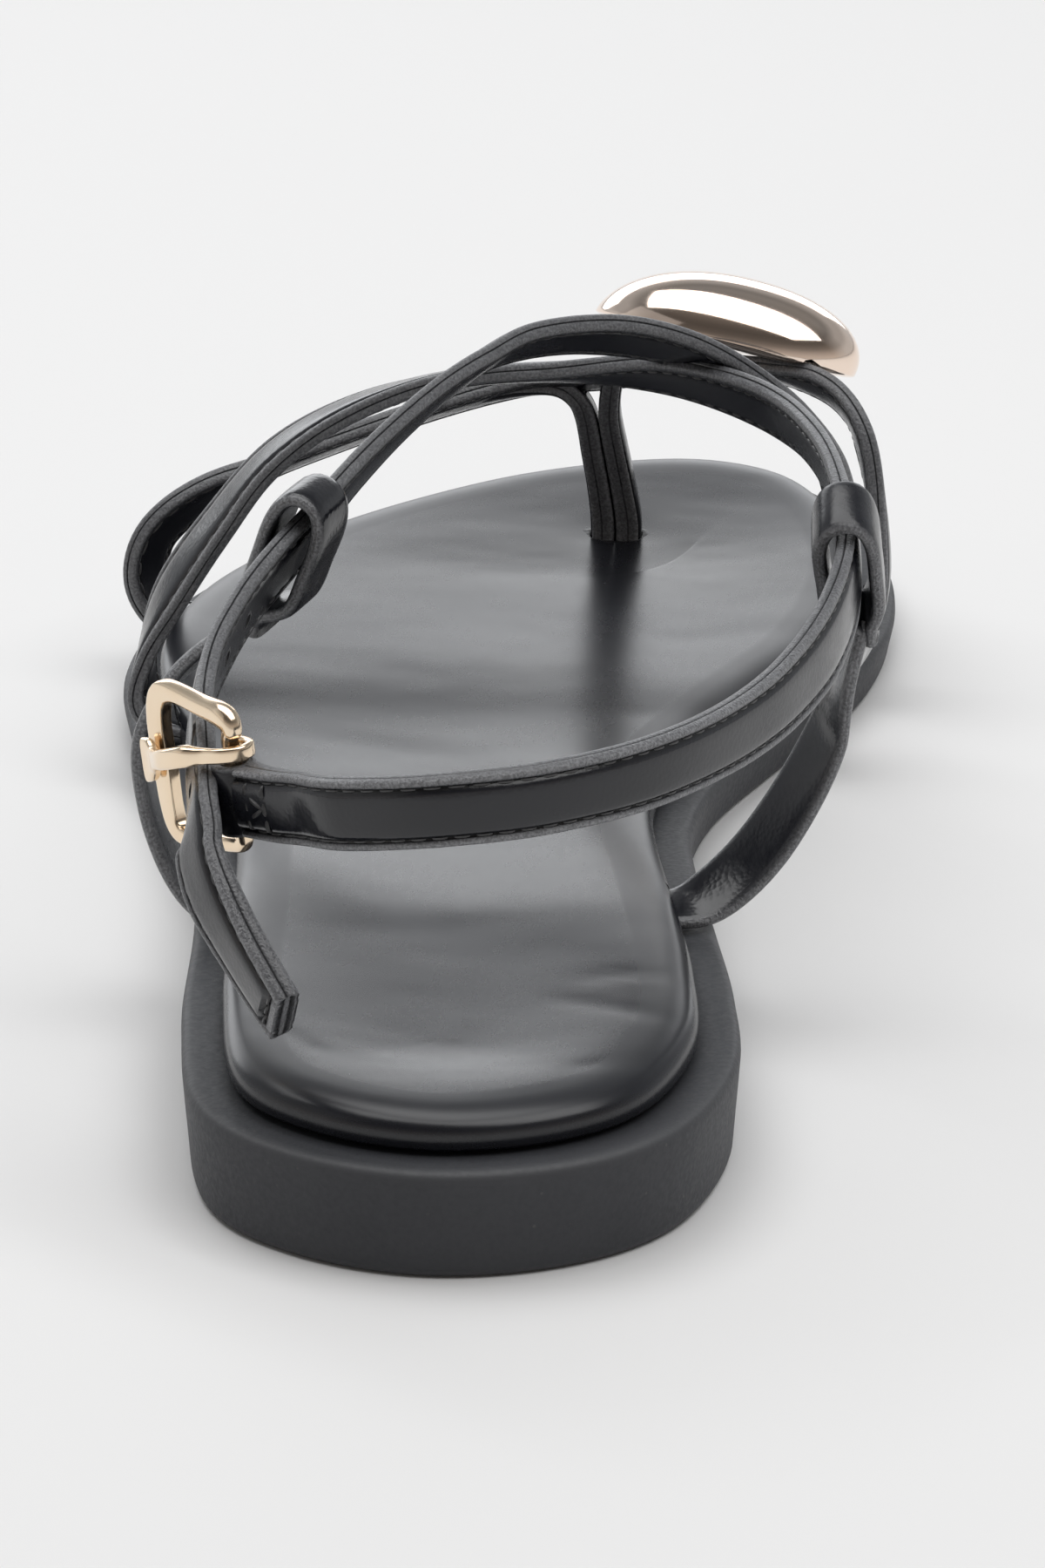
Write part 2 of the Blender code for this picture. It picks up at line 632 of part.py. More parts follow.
def eased_corners(half_a, half_b, ease_by):
    return [(-half_a, -half_b + ease_by), (-half_a, half_b - ease_by),
            (-half_a + ease_by, half_b), (half_a - ease_by, half_b),
            (half_a, half_b - ease_by), (half_a, -half_b + ease_by),
            (half_a - ease_by, -half_b), (-half_a + ease_by, -half_b)]


def build_buckle(metal):
    """The frame: one bar bent into a rounded rectangle, widest at its tip."""
    count = len(BUCKLE_FRAME)
    looped_rows = BUCKLE_FRAME[-2:] + BUCKLE_FRAME + BUCKLE_FRAME[:3]
    rings = []
    steps = 3
    for i in range(count * steps):
        at = 2.0 + i / steps
        u, w, width, thickness = catmull(looped_rows, at)
        u0, w0 = catmull(looped_rows, at - 0.1)[:2]
        u1, w1 = catmull(looped_rows, at + 0.1)[:2]
        length = math.hypot(u1 - u0, w1 - w0)
        side_u = (w1 - w0) / length
        side_w = -(u1 - u0) / length
        corners = eased_corners(width / 2.0, thickness / 2.0, 0.55)
        rings.append([to_frame(buckle_point(u + side_u * a, w + side_w * a, b))
                      for a, b in corners])
    return loft("buckle", rings, closed=True, made_of=metal)


def prong_rings():
    rings = []
    for position in spaced_positions(PRONG, 3, 0.9):
        u, w, n, width, thickness = catmull(PRONG, position)
        before = catmull(PRONG, max(position - 0.05, 0.0))
        after = catmull(PRONG, min(position + 0.05, len(PRONG) - 1.0))
        along_u = after[0] - before[0]
        along_n = after[2] - before[2]
        length = math.hypot(along_u, along_n)
        side_u = -along_n / length
        side_n = along_u / length
        corners = eased_corners(width / 2.0, thickness / 2.0, 0.3)
        rings.append([to_frame(buckle_point(u + side_u * b, w + a, n + side_n * b))
                      for a, b in corners])
    return rings


def build_prong(metal):
    """Hooked round the hinge bar beside the strap, and lying over the tip bar."""
    return loft("buckle_prong", prong_rings(), made_of=metal)


def strap_eye():
    """The ankle strap's folded end, round the hinge bar."""
    inner = BUCKLE_FRAME[0][2] / 2.0 + GAP + 0.15
    width = STRAP_WIDTH * ANKLE_TAPER[2]
    rings = []
    for radius, ends in ((inner, (-0.5, 0.5)), (inner + STRAP_EYE_WALL, (0.5, -0.5))):
        for end in ends:
            ring = []
            for i in range(14):
                angle = math.tau * i / 14.0
                ring.append(to_frame(buckle_point(radius * math.cos(angle),
                                                  STRAP_ON_HINGE + end * width,
                                                  radius * math.sin(angle))))
            rings.append(ring)
    return loft("strap_eye", rings, closed=True)


def build_straps(leather):
    """Ankle strap and tail strap, joined where they cross over the instep."""
    upper = strap("upper", ANKLE_STRAP, STRAP_WIDTH, leather, taper=ANKLE_TAPER)
    bar_room = buckle_rod("bar_room", BUCKLE_FRAME[0][2] / 2.0 + GAP + 0.15, STRAP_WIDTH)
    combine(upper, [bar_room], "DIFFERENCE")
    combine(upper, [strap_eye()], "UNION")
    tail = strap("tail", TAIL_STRAP, STRAP_WIDTH)
    return combine(upper, [tail], "UNION")


def build_toe_strap(leather):
    made = strap("toe_strap", TOE_STRAP, TOE_STRAP_WIDTH, leather)
    return combine(made, [toe_post()], "UNION")


# ---- ornament --------------------------------------------------------------------------
def toe_strap_room():
    """The toe strap under the ornament, grown by the gap."""
    rings = [strap_section(strap_axes(TOE_STRAP, ORNAMENT_ROW - 1.0 + shift * 0.25),
                           TOE_STRAP_WIDTH, GAP + 0.15) for shift in range(-14, 15)]
    return loft("toe_strap_room", rings)


def build_ornament(metal):
    """A smooth, slightly uneven dome with a groove in its back for the toe strap."""
    place = strap_axes(TOE_STRAP, ORNAMENT_ROW - 1.0)[0]
    out = Vector(ORNAMENT_TILT).normalized()
    long_axis = Vector(ORNAMENT_LONG_AXIS)
    long_axis = (long_axis - out * long_axis.dot(out)).normalized()
    short_axis = out.cross(long_axis)
    place = place + long_axis * ORNAMENT_SHIFT
    half_long, half_short, height = ORNAMENT_SIZE
    around = 28
    rings = [(0.74, ORNAMENT_LIFT), (0.92, ORNAMENT_LIFT + 0.45)]
    for level in range(7):
        angle = math.radians(13.0 * level + 2.0)
        spread = math.cos(angle) ** 0.92
        lift = ORNAMENT_LIFT + ORNAMENT_RIM + height * math.sin(angle)
        rings.append((spread, lift))
    points = []
    for spread, lift in rings:
        ring = []
        lean = ORNAMENT_SKEW * max(0.0, (lift - ORNAMENT_LIFT - ORNAMENT_RIM) / height)
        for i in range(around):
            turn = math.tau * i / around
            uneven = 1.0 + 0.05 * math.cos(2.0 * turn + 0.6) + 0.04 * math.cos(3.0 * turn)
            a = half_long * spread * uneven * math.cos(turn) + lean
            b = half_short * spread * uneven * math.sin(turn)
            ring.append(to_frame(place + long_axis * a + short_axis * b + out * lift))
        points.append(ring)
    ornament = loft("ornament", points, made_of=metal)
    return combine(ornament, [toe_strap_room()], "DIFFERENCE")


# ---- assembly --------------------------------------------------------------------------
def clear_scene():
    for item in list(bpy.data.objects):
        bpy.data.objects.remove(item)


def smooth(item):
    item.data.shade_smooth()
    item.data.set_sharp_from_angle(angle=math.radians(35.0))


def build():
    clear_scene()
    rubber = material("sole_rubber", (0.022, 0.022, 0.024), 0.72)
    bed_leather = material("footbed_leather", (0.014, 0.014, 0.016), 0.38)
    strap_leather = material("strap_leather", (0.018, 0.018, 0.020), 0.42)
    gold = material("pale_gold", (0.86, 0.68, 0.48), 0.16, metallic=1.0)
    pieces = [
        build_sole(rubber),
        build_footbed(bed_leather),
        build_straps(strap_leather),
        build_toe_strap(strap_leather),
        build_keeper("lateral_keeper", LATERAL_KEEPER, TAIL_STRAP, LATERAL_LOOP,
                     strap_leather),
        build_keeper("medial_keeper", MEDIAL_KEEPER, ANKLE_STRAP, MEDIAL_LOOP,
                     strap_leather),
        build_buckle(gold),
        build_prong(gold),
        build_ornament(gold),
    ]
    for piece in pieces:
        smooth(piece)


build()
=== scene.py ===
"""Looks of the toe post sandal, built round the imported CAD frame.

Tables are in millimetres, as the CAD's are: x towards the medial side, y forwards from the
back of the heel, z up from the floor.  Every piece repeats the route that its CAD solid has.
"""
import math

import bmesh
import bpy
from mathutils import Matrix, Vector, noise


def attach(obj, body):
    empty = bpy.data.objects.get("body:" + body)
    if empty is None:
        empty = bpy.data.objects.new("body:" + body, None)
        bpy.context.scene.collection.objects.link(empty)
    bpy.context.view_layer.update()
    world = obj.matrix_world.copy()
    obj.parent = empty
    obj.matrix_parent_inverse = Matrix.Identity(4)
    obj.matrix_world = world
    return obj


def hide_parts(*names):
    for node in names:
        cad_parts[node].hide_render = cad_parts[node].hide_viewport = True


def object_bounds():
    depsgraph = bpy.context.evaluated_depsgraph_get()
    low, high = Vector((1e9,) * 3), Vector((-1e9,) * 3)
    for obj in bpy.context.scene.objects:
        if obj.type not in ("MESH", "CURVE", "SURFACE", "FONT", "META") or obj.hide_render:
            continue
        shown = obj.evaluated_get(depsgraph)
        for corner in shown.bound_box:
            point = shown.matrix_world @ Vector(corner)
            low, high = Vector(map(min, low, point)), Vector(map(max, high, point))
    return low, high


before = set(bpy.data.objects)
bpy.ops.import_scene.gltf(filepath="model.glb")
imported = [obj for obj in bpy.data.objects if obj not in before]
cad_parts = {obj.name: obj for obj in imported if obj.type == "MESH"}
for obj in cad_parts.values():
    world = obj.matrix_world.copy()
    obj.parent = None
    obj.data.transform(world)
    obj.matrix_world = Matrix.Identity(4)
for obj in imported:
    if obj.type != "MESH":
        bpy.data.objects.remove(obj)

LOW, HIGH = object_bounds()

# ---- sizes and tables of the CAD, millimetres
MM = 0.001
HEEL_CENTRE = 32.0  # from the back of the heel to the frame's origin
SOLE_LENGTH = 249.6
HEEL_TOP = 13.0  # height of the sole's upper face over the heel block
FORE_TOP = 6.2  # the same in the forefoot
SLOPE_START, SLOPE_END = 66.0, 152.0
SPRING_START = 200.0  # the sole lifts from here to the toe
SPRING_RISE = 3.0
BREAST = 65.0  # front face of the heel block
BREAST_RISE = 6.8  # height of the hollow at the heel block
ARCH_END = 150.0  # the hollow under the arch ends here
BED_INSET = 4.8  # of the footbed from the edge of the sole
BED_DISH = 1.3  # the heel pad's middle below its edge
STRAP_WIDTH = 10.0
TOE_STRAP_WIDTH = 9.0
ANKLE_TAPER = (14.0, 17.0, 0.84)  # between these rows the ankle strap narrows to this share
KEEPER_WIDTH = 8.6

MEDIAL_EDGE = [
    # x, y
    (0, 0), (16.4, 4.6), (27.4, 15.6), (32.2, 34), (30.6, 54), (27, 74),
    (23.2, 96), (21.2, 116), (23, 136), (29.8, 156), (36.6, 172), (40.6, 187),
    (42.2, 202), (40.8, 218), (35.6, 234), (27, 245), (13, 249.6),
]
LATERAL_EDGE = [
    (0, 0), (-16.4, 4.6), (-28, 16.6), (-33, 41), (-35.4, 70), (-39, 98),
    (-46.4, 125), (-54.6, 151), (-58.2, 174), (-54, 198), (-41.4, 220),
    (-22, 237.6), (-4, 246.6), (13, 249.6),
]

# Routes of the straps' middle lines.  nx, ny, nz point out of the strap's outer face.
ANKLE_STRAP = [
    # x, y, z, nx, ny, nz, thickness
    (-41, 146.6, 8.1, 0, 0, -1, 2.4),
    (-47.6, 147.2, 8.2, -0.12, 0, -1, 2.4),
    (-51.7, 147.8, 10.4, -0.75, 0.08, -0.65, 2.4),
    (-52.2, 149.2, 16, -0.98, -0.1, -0.1, 2.4),
    (-49.2, 151, 24.2, -0.9, -0.32, 0.3, 2.4),
    (-43, 151.6, 33.8, -0.8, -0.25, 0.5, 2.4),
    (-35.4, 151.6, 43.4, -0.7, -0.1, 0.65, 2.4),
    (-25, 151.2, 50.4, -0.5, 0.1, 0.8, 2.4),
    (-11.6, 149.2, 55.4, -0.2, 0.3, 0.9, 2.4),
    (4, 146, 57.9, 0, 0.4, 0.9, 2.4),
    (18, 138.6, 59.9, 0.3, 0.6, 0.7, 2.4),
    (30.6, 126, 60, 0.65, 0.5, 0.5, 2.4),
    (37.6, 108, 60, 0.88, 0.3, 0.3, 2.4),
    (41.1, 89.6, 58.6, 0.97, 0.1, 0.15, 2.4),
    (41.8, 74, 56, 1, -0.05, 0.08, 2.4),
    (39.2, 57, 53.9, 0.95, -0.28, 0.05, 2.4),
    (33.4, 39, 53.2, 0.85, -0.5, 0, 2.4),
    (24.4, 21, 54.2, 0.65, -0.76, 0, 2.4),
    (13, 9.6, 54.8, 0.34, -0.94, 0, 2.4),
    (1, 6, 54.2, 0, -1, 0, 2.4),
    (-10, 10.4, 51.6, -0.44, -0.9, 0, 2.4),
    (-15.6, 16.4, 49.6, -0.7, -0.7, -0.03, 2.4),
    (-19.2, 20.5, 48.3, -0.76, -0.64, -0.07, 3.4),
    (-23.7, 25.6, 47.1, -0.76, -0.64, -0.07, 3.4),
]
TAIL_STRAP = [
    (20, 162, 7.9, 0, 0, -1, 2.4),
    (27.2, 162, 8, 0.12, 0, -1, 2.4),
    (32, 162.2, 10, 0.7, 0.1, -0.7, 2.4),
    (34.8, 162.6, 16, 0.95, 0.1, -0.35, 2.4),
    (36.8, 161.6, 26, 0.97, 0.2, -0.1, 2.4),
    (36.8, 157.4, 37, 0.93, 0.35, 0.15, 2.4),
    (34.6, 150.8, 47.2, 0.78, 0.5, 0.42, 2.4),
    (29.6, 142.2, 56, 0.55, 0.6, 0.58, 2.4),
    (24.2, 136.2, 61.8, 0.4, 0.62, 0.66, 2.4),
    (16.6, 133, 66.2, 0.2, 0.66, 0.7, 2.4),
    (7.3, 128, 69, 0, 0.68, 0.72, 2.4),
    (-1.5, 120, 70, -0.2, 0.62, 0.74, 2.4),
    (-6.6, 112.4, 68.9, -0.4, 0.52, 0.72, 2.4),
    (-12.2, 102.6, 66.6, -0.6, 0.42, 0.62, 2.4),
    (-17.8, 90, 63.4, -0.76, 0.3, 0.5, 2.4),
    (-22.2, 78, 60, -0.88, 0.2, 0.36, 2.4),
    (-26.8, 66, 56.8, -0.94, 0, 0.24, 2.4),
    (-29.2, 56, 54.3, -0.96, -0.15, 0.15, 2.4),
    (-30.2, 48, 52.4, -0.95, -0.25, 0.1, 2.4),
    (-30.2, 41, 50.6, -0.93, -0.35, 0.08, 2.4),
    (-29.4, 34.4, 48.8, -0.9, -0.42, 0.06, 2.4),
    (-28.4, 28.2, 46.4, -0.86, -0.5, 0.02, 2.4),
    (-28, 23.2, 44.2, -0.8, -0.6, 0, 2.4),
    (-27.6, 20.2, 41.6, -0.78, -0.62, 0, 2.4),
    (-25.7, 17, 38.4, -0.8, -0.56, 0, 2.9),
    (-22, 13, 33.9, -0.82, -0.5, -0.1, 3.2),
    (-16.7, 7.6, 28.2, -0.82, -0.48, -0.2, 3.3),
]
TOE_STRAP = [
    (-46.6, 186.6, 7.9, 0, 0, -1, 2.4),
    (-52.4, 185.8, 8, -0.12, 0, -1, 2.4),
    (-55.7, 184.8, 10.2, -0.75, 0.2, -0.6, 2.4),
    (-57, 183.8, 15.6, -0.9, 0.42, -0.05, 2.4),
    (-55.2, 184.2, 21, -0.8, 0.5, 0.35, 2.4),
    (-49.2, 187.4, 25.4, -0.45, 0.6, 0.7, 2.4),
    (-41, 192.6, 27.7, -0.3, 0.5, 0.83, 2.4),
    (-26, 202, 31.1, -0.18, 0.5, 0.86, 2.4),
    (-9.5, 209.4, 34.4, -0.1, 0.5, 0.86, 2.4),
    (2, 210.8, 35.4, -0.12, 0.48, 0.87, 2.4),
    (11.5, 208, 37.6, -0.1, 0.44, 0.88, 2.4),
    (20.5, 203.4, 39.9, 0.15, 0.38, 0.9, 2.4),
    (27.6, 199.2, 40.4, 0.38, 0.38, 0.84, 2.4),
    (34, 193.6, 39.9, 0.65, 0.4, 0.62, 2.4),
    (38.2, 187.6, 36.4, 0.88, 0.3, 0.35, 2.4),
    (40.3, 185.6, 27, 1, 0.1, 0.1, 2.4),
    (41, 185.4, 17, 1, 0, -0.1, 2.4),
    (39.4, 185.6, 10.4, 0.75, 0, -0.65, 2.4),
    (35.4, 185.6, 8, 0.12, 0, -1, 2.4),
    (28.6, 185.4, 7.9, 0, 0, -1, 2.4),
]
LATERAL_KEEPER = [
    (-23, 70, 14.4, 0, 0, -1, 1.8),
    (-30.6, 70, 14.5, -0.12, 0, -1, 1.8),
    (-34.8, 69.4, 16.2, -0.6, 0, -0.8, 1.8),
    (-38, 68.6, 21.6, -0.93, 0, -0.35, 1.8),
    (-40.4, 68.2, 29.6, -1, 0, 0, 1.8),
    (-41, 69.4, 36.6, -0.97, 0.05, 0.2, 1.8),
    (-38, 72.4, 42.6, -0.85, 0.12, 0.5, 1.8),
    (-33.4, 75.4, 46.4, -0.8, 0.18, 0.55, 1.8),
]
MEDIAL_KEEPER = [
    (14.5, 74.6, 14.4, 0, 0, -1, 1.8),
    (21.6, 75.2, 14.5, 0.05, 0.1, -1, 1.8),
    (26.2, 76.4, 16, 0.25, 0.4, -0.88, 1.8),
    (31.4, 78.6, 20.6, 0.45, 0.55, -0.7, 1.8),
    (36, 80.8, 27.4, 0.66, 0.58, -0.45, 1.8),
    (39.4, 82.2, 34.6, 0.8, 0.5, -0.28, 1.8),
    (41.4, 82.6, 41.4, 0.95, 0.2, -0.15, 1.8),
]
# A keeper's end goes up the outside of the strap it holds, over its edge, back down inside it
# and is stitched to itself: up along the keeper, out from the strap, and the outward direction.
KEEPER_LOOP = [
    # up, out, n_up, n_out
    (-11.2, 1.4, 0, 1),
    (-8.9, 1.6, -0.1, 1),
    (-5.9, 2.75, -0.25, 1),
    (-1, 2.95, 0, 1),
    (3.9, 2.95, 0.15, 1),
    (6.9, 1.95, 0.75, 0.7),
    (7.8, 0, 1, 0),
    (6.9, -2.1, 0.75, -0.7),
    (3.9, -3.25, 0.15, -1),
    (-1, -3.3, 0, -1),
    (-5.9, -2.95, -0.3, -1),
    (-8.9, 0.05, -0.3, -1),
    (-11.2, -0.1, 0, -1),
]
TOE_POST_PLACE = (3.3, 216.4)
POST_HOLE = (3.6, 2.5)  # half its width and half its depth

# Where the keepers' loops sit: the row of the strap that is held, from 1, and the loop's lean.
LATERAL_LOOP = (16.25, 0.25)
MEDIAL_LOOP = (14.45, -0.2)

# Buckle: u runs from its hinge bar to its tip bar, w up along the bars, n out of its face.
HINGE = (-24.0, 26.0, 47.9)
BUCKLE_U = (-0.63, 0.766, -0.12)
BUCKLE_W = (-0.1, 0.0, 0.995)
BUCKLE_FRAME = [
    # u, w, width, thickness
    (0, -5.2, 1.9, 1.9),
    (0, 0, 1.9, 1.9),
    (0, 5.7, 1.9, 1.9),
    (-0.7, 7.2, 2.4, 2.3),
    (0.5, 8.5, 3, 2.6),
    (5, 8.9, 2.7, 2.2),
    (11.6, 9.4, 2.6, 2),
    (14.4, 8.2, 3, 1.9),
    (15.6, 5, 3.3, 1.8),
    (15.6, 0, 3.4, 1.8),
    (15.6, -5, 3, 1.8),
    (14.8, -7.6, 2.4, 1.9),
    (12.6, -8.4, 2, 1.9),
    (7.5, -7.8, 1.9, 1.9),
    (2.2, -7.1, 1.9, 1.9),
    (0.4, -6.6, 1.8, 1.9),
]
STRAP_EYE_WALL = 1.25
STRAP_ON_HINGE = -0.9  # the ankle strap sits this far along the hinge bar
PRONG = [
    # u, w, n, width, thickness
    (2, 4.68, 0, 1.8, 1.1),
    (1.15, 4.68, -1.8, 1.8, 1.1),
    (-1.15, 4.68, -1.8, 1.8, 1.1),
    (-2.1, 4.68, 0, 1.8, 1.1),
    (-1.1, 4.68, 1.95, 1.8, 1.1),
    (1.2, 4.6, 3.2, 1.9, 1.2),
    (3, 4.6, 4.5, 2.5, 2.1),
    (7, 3.5, 4.6, 2.5, 2.1),
    (11, 2.3, 3.4, 2.4, 1.8),
    (13.4, 1.5, 2.5, 3.2, 1.4),
    (14.8, 1.1, 2.1, 5, 1.3),
    (16.6, 0.7, 1.85, 5.4, 1.1),
]

# Ornament
ORNAMENT_ROW = 12  # of the toe strap, from 1
ORNAMENT_SIZE = (17.9, 13.4, 9.2)  # half its length and width, and its height over the rim
ORNAMENT_LIFT = 1.9  # of its back above the middle of the toe strap
ORNAMENT_RIM = 0.8  # its widest level, above its back
ORNAMENT_SKEW = 2.6  # its top leans this far along its long axis
ORNAMENT_SHIFT = -3.2  # along its long axis
ORNAMENT_LOBES = (0.05, 0.04)  # how far its oval is from an ellipse
ORNAMENT_TILT = (0.22, 0.34, 0.91)
ORNAMENT_LONG_AXIS = (0.92, -0.36, -0.16)


# ---- curves
FINE = 24  # steps between two rows when a curve is measured
NEARBY = 0.05  # rows to either side that give a curve's direction


def to_frame(point):
    """A point of the tables as a point of the frame, in metres."""
    x, y, z = point
    return Vector((x * MM, (y - HEEL_CENTRE) * MM, z * MM))


def ease(value, start, end):
    """0 before start, 1 after end, and a smooth S between them."""
    t = min(1.0, max(0.0, (value - start) / (end - start)))
    return t * t * (3.0 - 2.0 * t)


def catmull(rows, position):
    """The smooth curve through the rows, read at a row number that may be fractional."""
    last = len(rows) - 1
    index = min(int(position), last - 1)
    t = position - index
    before = rows[max(index - 1, 0)]
    here = rows[index]
    after = rows[index + 1]
    beyond = rows[min(index + 2, last)]
    values = []
    for p0, p1, p2, p3 in zip(before, here, after, beyond):
        curve = (2.0 * p1 + (p2 - p0) * t
                 + (2.0 * p0 - 5.0 * p1 + 4.0 * p2 - p3) * t * t
                 + (3.0 * p1 - p0 - 3.0 * p2 + p3) * t * t * t)
        values.append(0.5 * curve)
    return values


def lengths_along(places):
    lengths = [0.0]
    for first, second in zip(places, places[1:]):
        lengths.append(lengths[-1] + math.dist(first, second))
    return lengths


def evenly(lengths, count):
    """Evenly spaced places on a polyline: the corner before each, and the share to the next."""
    at = 0
    for i in range(count + 1):
        target = lengths[-1] * i / count
        while at < len(lengths) - 2 and lengths[at + 1] < target:
            at += 1
        span = max(lengths[at + 1] - lengths[at], 1e-9)
        yield at, min(1.0, (target - lengths[at]) / span)


def spaced_positions(rows, step):
    """Row numbers spaced evenly along the curve; the first three columns are coordinates."""
    total = (len(rows) - 1) * FINE
    lengths = lengths_along([catmull(rows, i / FINE)[:3] for i in range(total + 1)])
    return [(at + share) / FINE for at, share in evenly(lengths, max(2, round(lengths[-1] / step)))]


def beside(rows, position):
    """The curve a little before and a little after a row number."""
    return (catmull(rows, max(position - NEARBY, 0.0)),
            catmull(rows, min(position + NEARBY, len(rows) - 1.0)))


def squared(vector, axis):
    """The direction of a vector once it is made square to an axis."""
    return (vector - axis * vector.dot(axis)).normalized()


class Station:
    """A place on a strap's middle line, with the strap's direction, width and outward axes."""

    def __init__(self, rows, position):
        *line, self.thickness = catmull(rows, position)
        before, after = beside(rows, position)
        self.position = position
        self.travelled = 0.0
        self.place = Vector(line[:3])
        self.along = Vector([b - a for a, b in zip(before[:3], after[:3])]).normalized()
        self.out = squared(Vector(line[3:]), self.along)
        self.across = self.along.cross(self.out)

    def point(self, a, b):
        """The point a across the strap from its middle line, and b outwards."""
        return self.place + self.across * a + self.out * b

    def room(self, half_w, half_t):
        """The section of a cutter that makes room for the strap."""
        low_t = half_t - 0.5
        low_w = half_w - 0.5
        return [self.point(a, b) for a, b in (
            (-half_w, -half_t), (-half_w, low_t), (-low_w, half_t),
            (low_w, half_t), (half_w, low_t), (half_w, -half_t))]


def stations_along(rows, step):
    """Evenly spaced stations, each with its distance from the strap's start."""
    stations = []
    for position in spaced_positions(rows, step):
        station = Station(rows, position)
        if stations:
            before = stations[-1]
            station.travelled = before.travelled + (station.place - before.place).length
        stations.append(station)
    return stations


def station_from_end(stations, from_end):
    """The station of a strap nearest to a distance from its end."""
    length = stations[-1].travelled
    return min(stations, key=lambda station: abs(length - station.travelled - from_end))


def superellipse(half_a, half_b, power, sides, turned=0.5):
    """A closed section between an oval and a rectangle."""
    points = []
    for i in range(sides):
        angle = math.tau * (i + turned) / sides
        c = math.cos(angle)
        s = math.sin(angle)
        points.append((math.copysign(abs(c) ** power, c) * half_a,
                       math.copysign(abs(s) ** power, s) * half_b))
    return points


def smooth_noise(*place):
    """Between -1 and 1, and the same on every run."""
    return noise.noise(Vector(place))


def uneven(x, y, z, size, amount):
    """A smooth unevenness of a surface, in millimetres."""
    return amount * smooth_noise(x / size, y / size, z / size)


# ---- meshes
def tube_faces(rings, count, closed=False):
    faces = []
    for r in range(rings if closed else rings - 1):
        low = r * count
        high = ((r + 1) % rings) * count
        for i in range(count):
            j = (i + 1) % count
            faces.append((low + i, low + j, high + j, high + i))
    if not closed:
        faces.append(tuple(range(count)))
        faces.append(tuple(range((rings - 1) * count, rings * count)))
    return faces


def add_tube(vertices, faces, start, count):
    """Close the rings of count points that follow a start into one more tube."""
    tube = tube_faces((len(vertices) - start) // count, count)
    faces += [tuple(start + v for v in face) for face in tube]


def placed(name, data):
    """A new object in the scene."""
    made = bpy.data.objects.new(name, data)
    bpy.context.scene.collection.objects.link(made)
    return made


def closed_shape(name, vertices, faces, zones=None):
    """An object with its faces turned outwards, from points in millimetres."""
    mesh = bpy.data.meshes.new(name)
    mesh.from_pydata([tuple(to_frame(v)) for v in vertices], [], faces)
    if zones is not None:
        layer = mesh.color_attributes.new("zones", "FLOAT_COLOR", "POINT")
        for item, zone in zip(layer.data, zones):
            item.color = (*zone, 1.0)
    work = bmesh.new()
    work.from_mesh(mesh)
    bmesh.ops.recalc_face_normals(work, faces=work.faces)
    work.to_mesh(mesh)
    work.free()
    return placed(name, mesh)


def cutter(vertices, count):
    """A closed shape to cut with, from rings of count points."""
    return closed_shape("cutter", vertices, tube_faces(len(vertices) // count, count))


def smoothed(piece, sharp):
    """Smooth shading, with edges kept sharp past an angle in degrees."""
    piece.data.shade_smooth()
    piece.data.set_sharp_from_angle(angle=math.radians(sharp))


def make_piece(name, vertices, faces, finish, replaced=(), zones=None, sharp=40.0):
    """A piece from points in the tables' millimetres.  zones are (edge, line, wear) by point."""
    piece = closed_shape(name, vertices, faces, zones)
    smoothed(piece, sharp)
    piece.data.materials.append(finish)
    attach(piece, "root")
    if replaced:
        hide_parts(*replaced)
    return piece


def cut(piece, cutters, sharp):
    """Cut closed shapes out of a piece and remove them."""
    for tool in cutters:
        modifier = piece.modifiers.new("cut", "BOOLEAN")
        modifier.operation = "DIFFERENCE"
        modifier.solver = "EXACT"
        modifier.object = tool
        bpy.context.view_layer.update()
        graph = bpy.context.evaluated_depsgraph_get()
        mesh = bpy.data.meshes.new_from_object(piece.evaluated_get(graph))
        piece.modifiers.clear()
        piece.data = mesh
        bpy.data.objects.remove(tool)
    smoothed(piece, sharp)


# ---- materials
def plug(tree, socket, value):
    """Link a socket to another one, or set its value."""
    if isinstance(value, bpy.types.NodeSocket):
        tree.links.new(value, socket)
    else:
        socket.default_value = value


def node(tree, kind, **values):
    """A shader node with its sockets, by name, linked or set."""
    made = tree.nodes.new("ShaderNode" + kind)
    for name, value in values.items():
        plug(tree, made.inputs[name.replace("_", " ")], value)
    return made


def blended(tree, factor, low, high):
    """A colour between two, by a factor socket.  low and high are colours or sockets."""
    made = tree.nodes.new("ShaderNodeMix")
    made.data_type = "RGBA"
    for index, value in ((0, factor), (6, low), (7, high)):
        plug(tree, made.inputs[index], (*value, 1.0) if isinstance(value, tuple) else value)
    return made.outputs[2]


def mapped(tree, value, low, high, to_low=0.0, to_high=1.0):
    """A value carried from one range to another."""
    made = node(tree, "MapRange", Value=value, From_Min=low, From_Max=high, To_Min=to_low,
                To_Max=to_high)
    return made.outputs["Result"]


def scaled(tree, value, amount):
    """A share from 0 to 1, carried to 0 to the amount."""
    return mapped(tree, value, 0.0, 1.0, 0.0, amount)


def maths(tree, operation, first, second):
    made = tree.nodes.new("ShaderNodeMath")
    made.operation = operation
    plug(tree, made.inputs[0], first)
    plug(tree, made.inputs[1], second)
    return made.outputs[0]


def object_noise(tree, scale, detail=2.0, stretch=(1.0, 1.0, 1.0)):
    place = node(tree, "TexCoord").outputs["Object"]
    stretched = node(tree, "Mapping", Vector=place, Scale=stretch).outputs["Vector"]
    return node(tree, "TexNoise", Vector=stretched, Scale=scale, Detail=detail).outputs["Fac"]


def object_cells(tree, scale):
    place = node(tree, "TexCoord").outputs["Object"]
    return node(tree, "TexVoronoi", Vector=place, Scale=scale).outputs["Distance"]


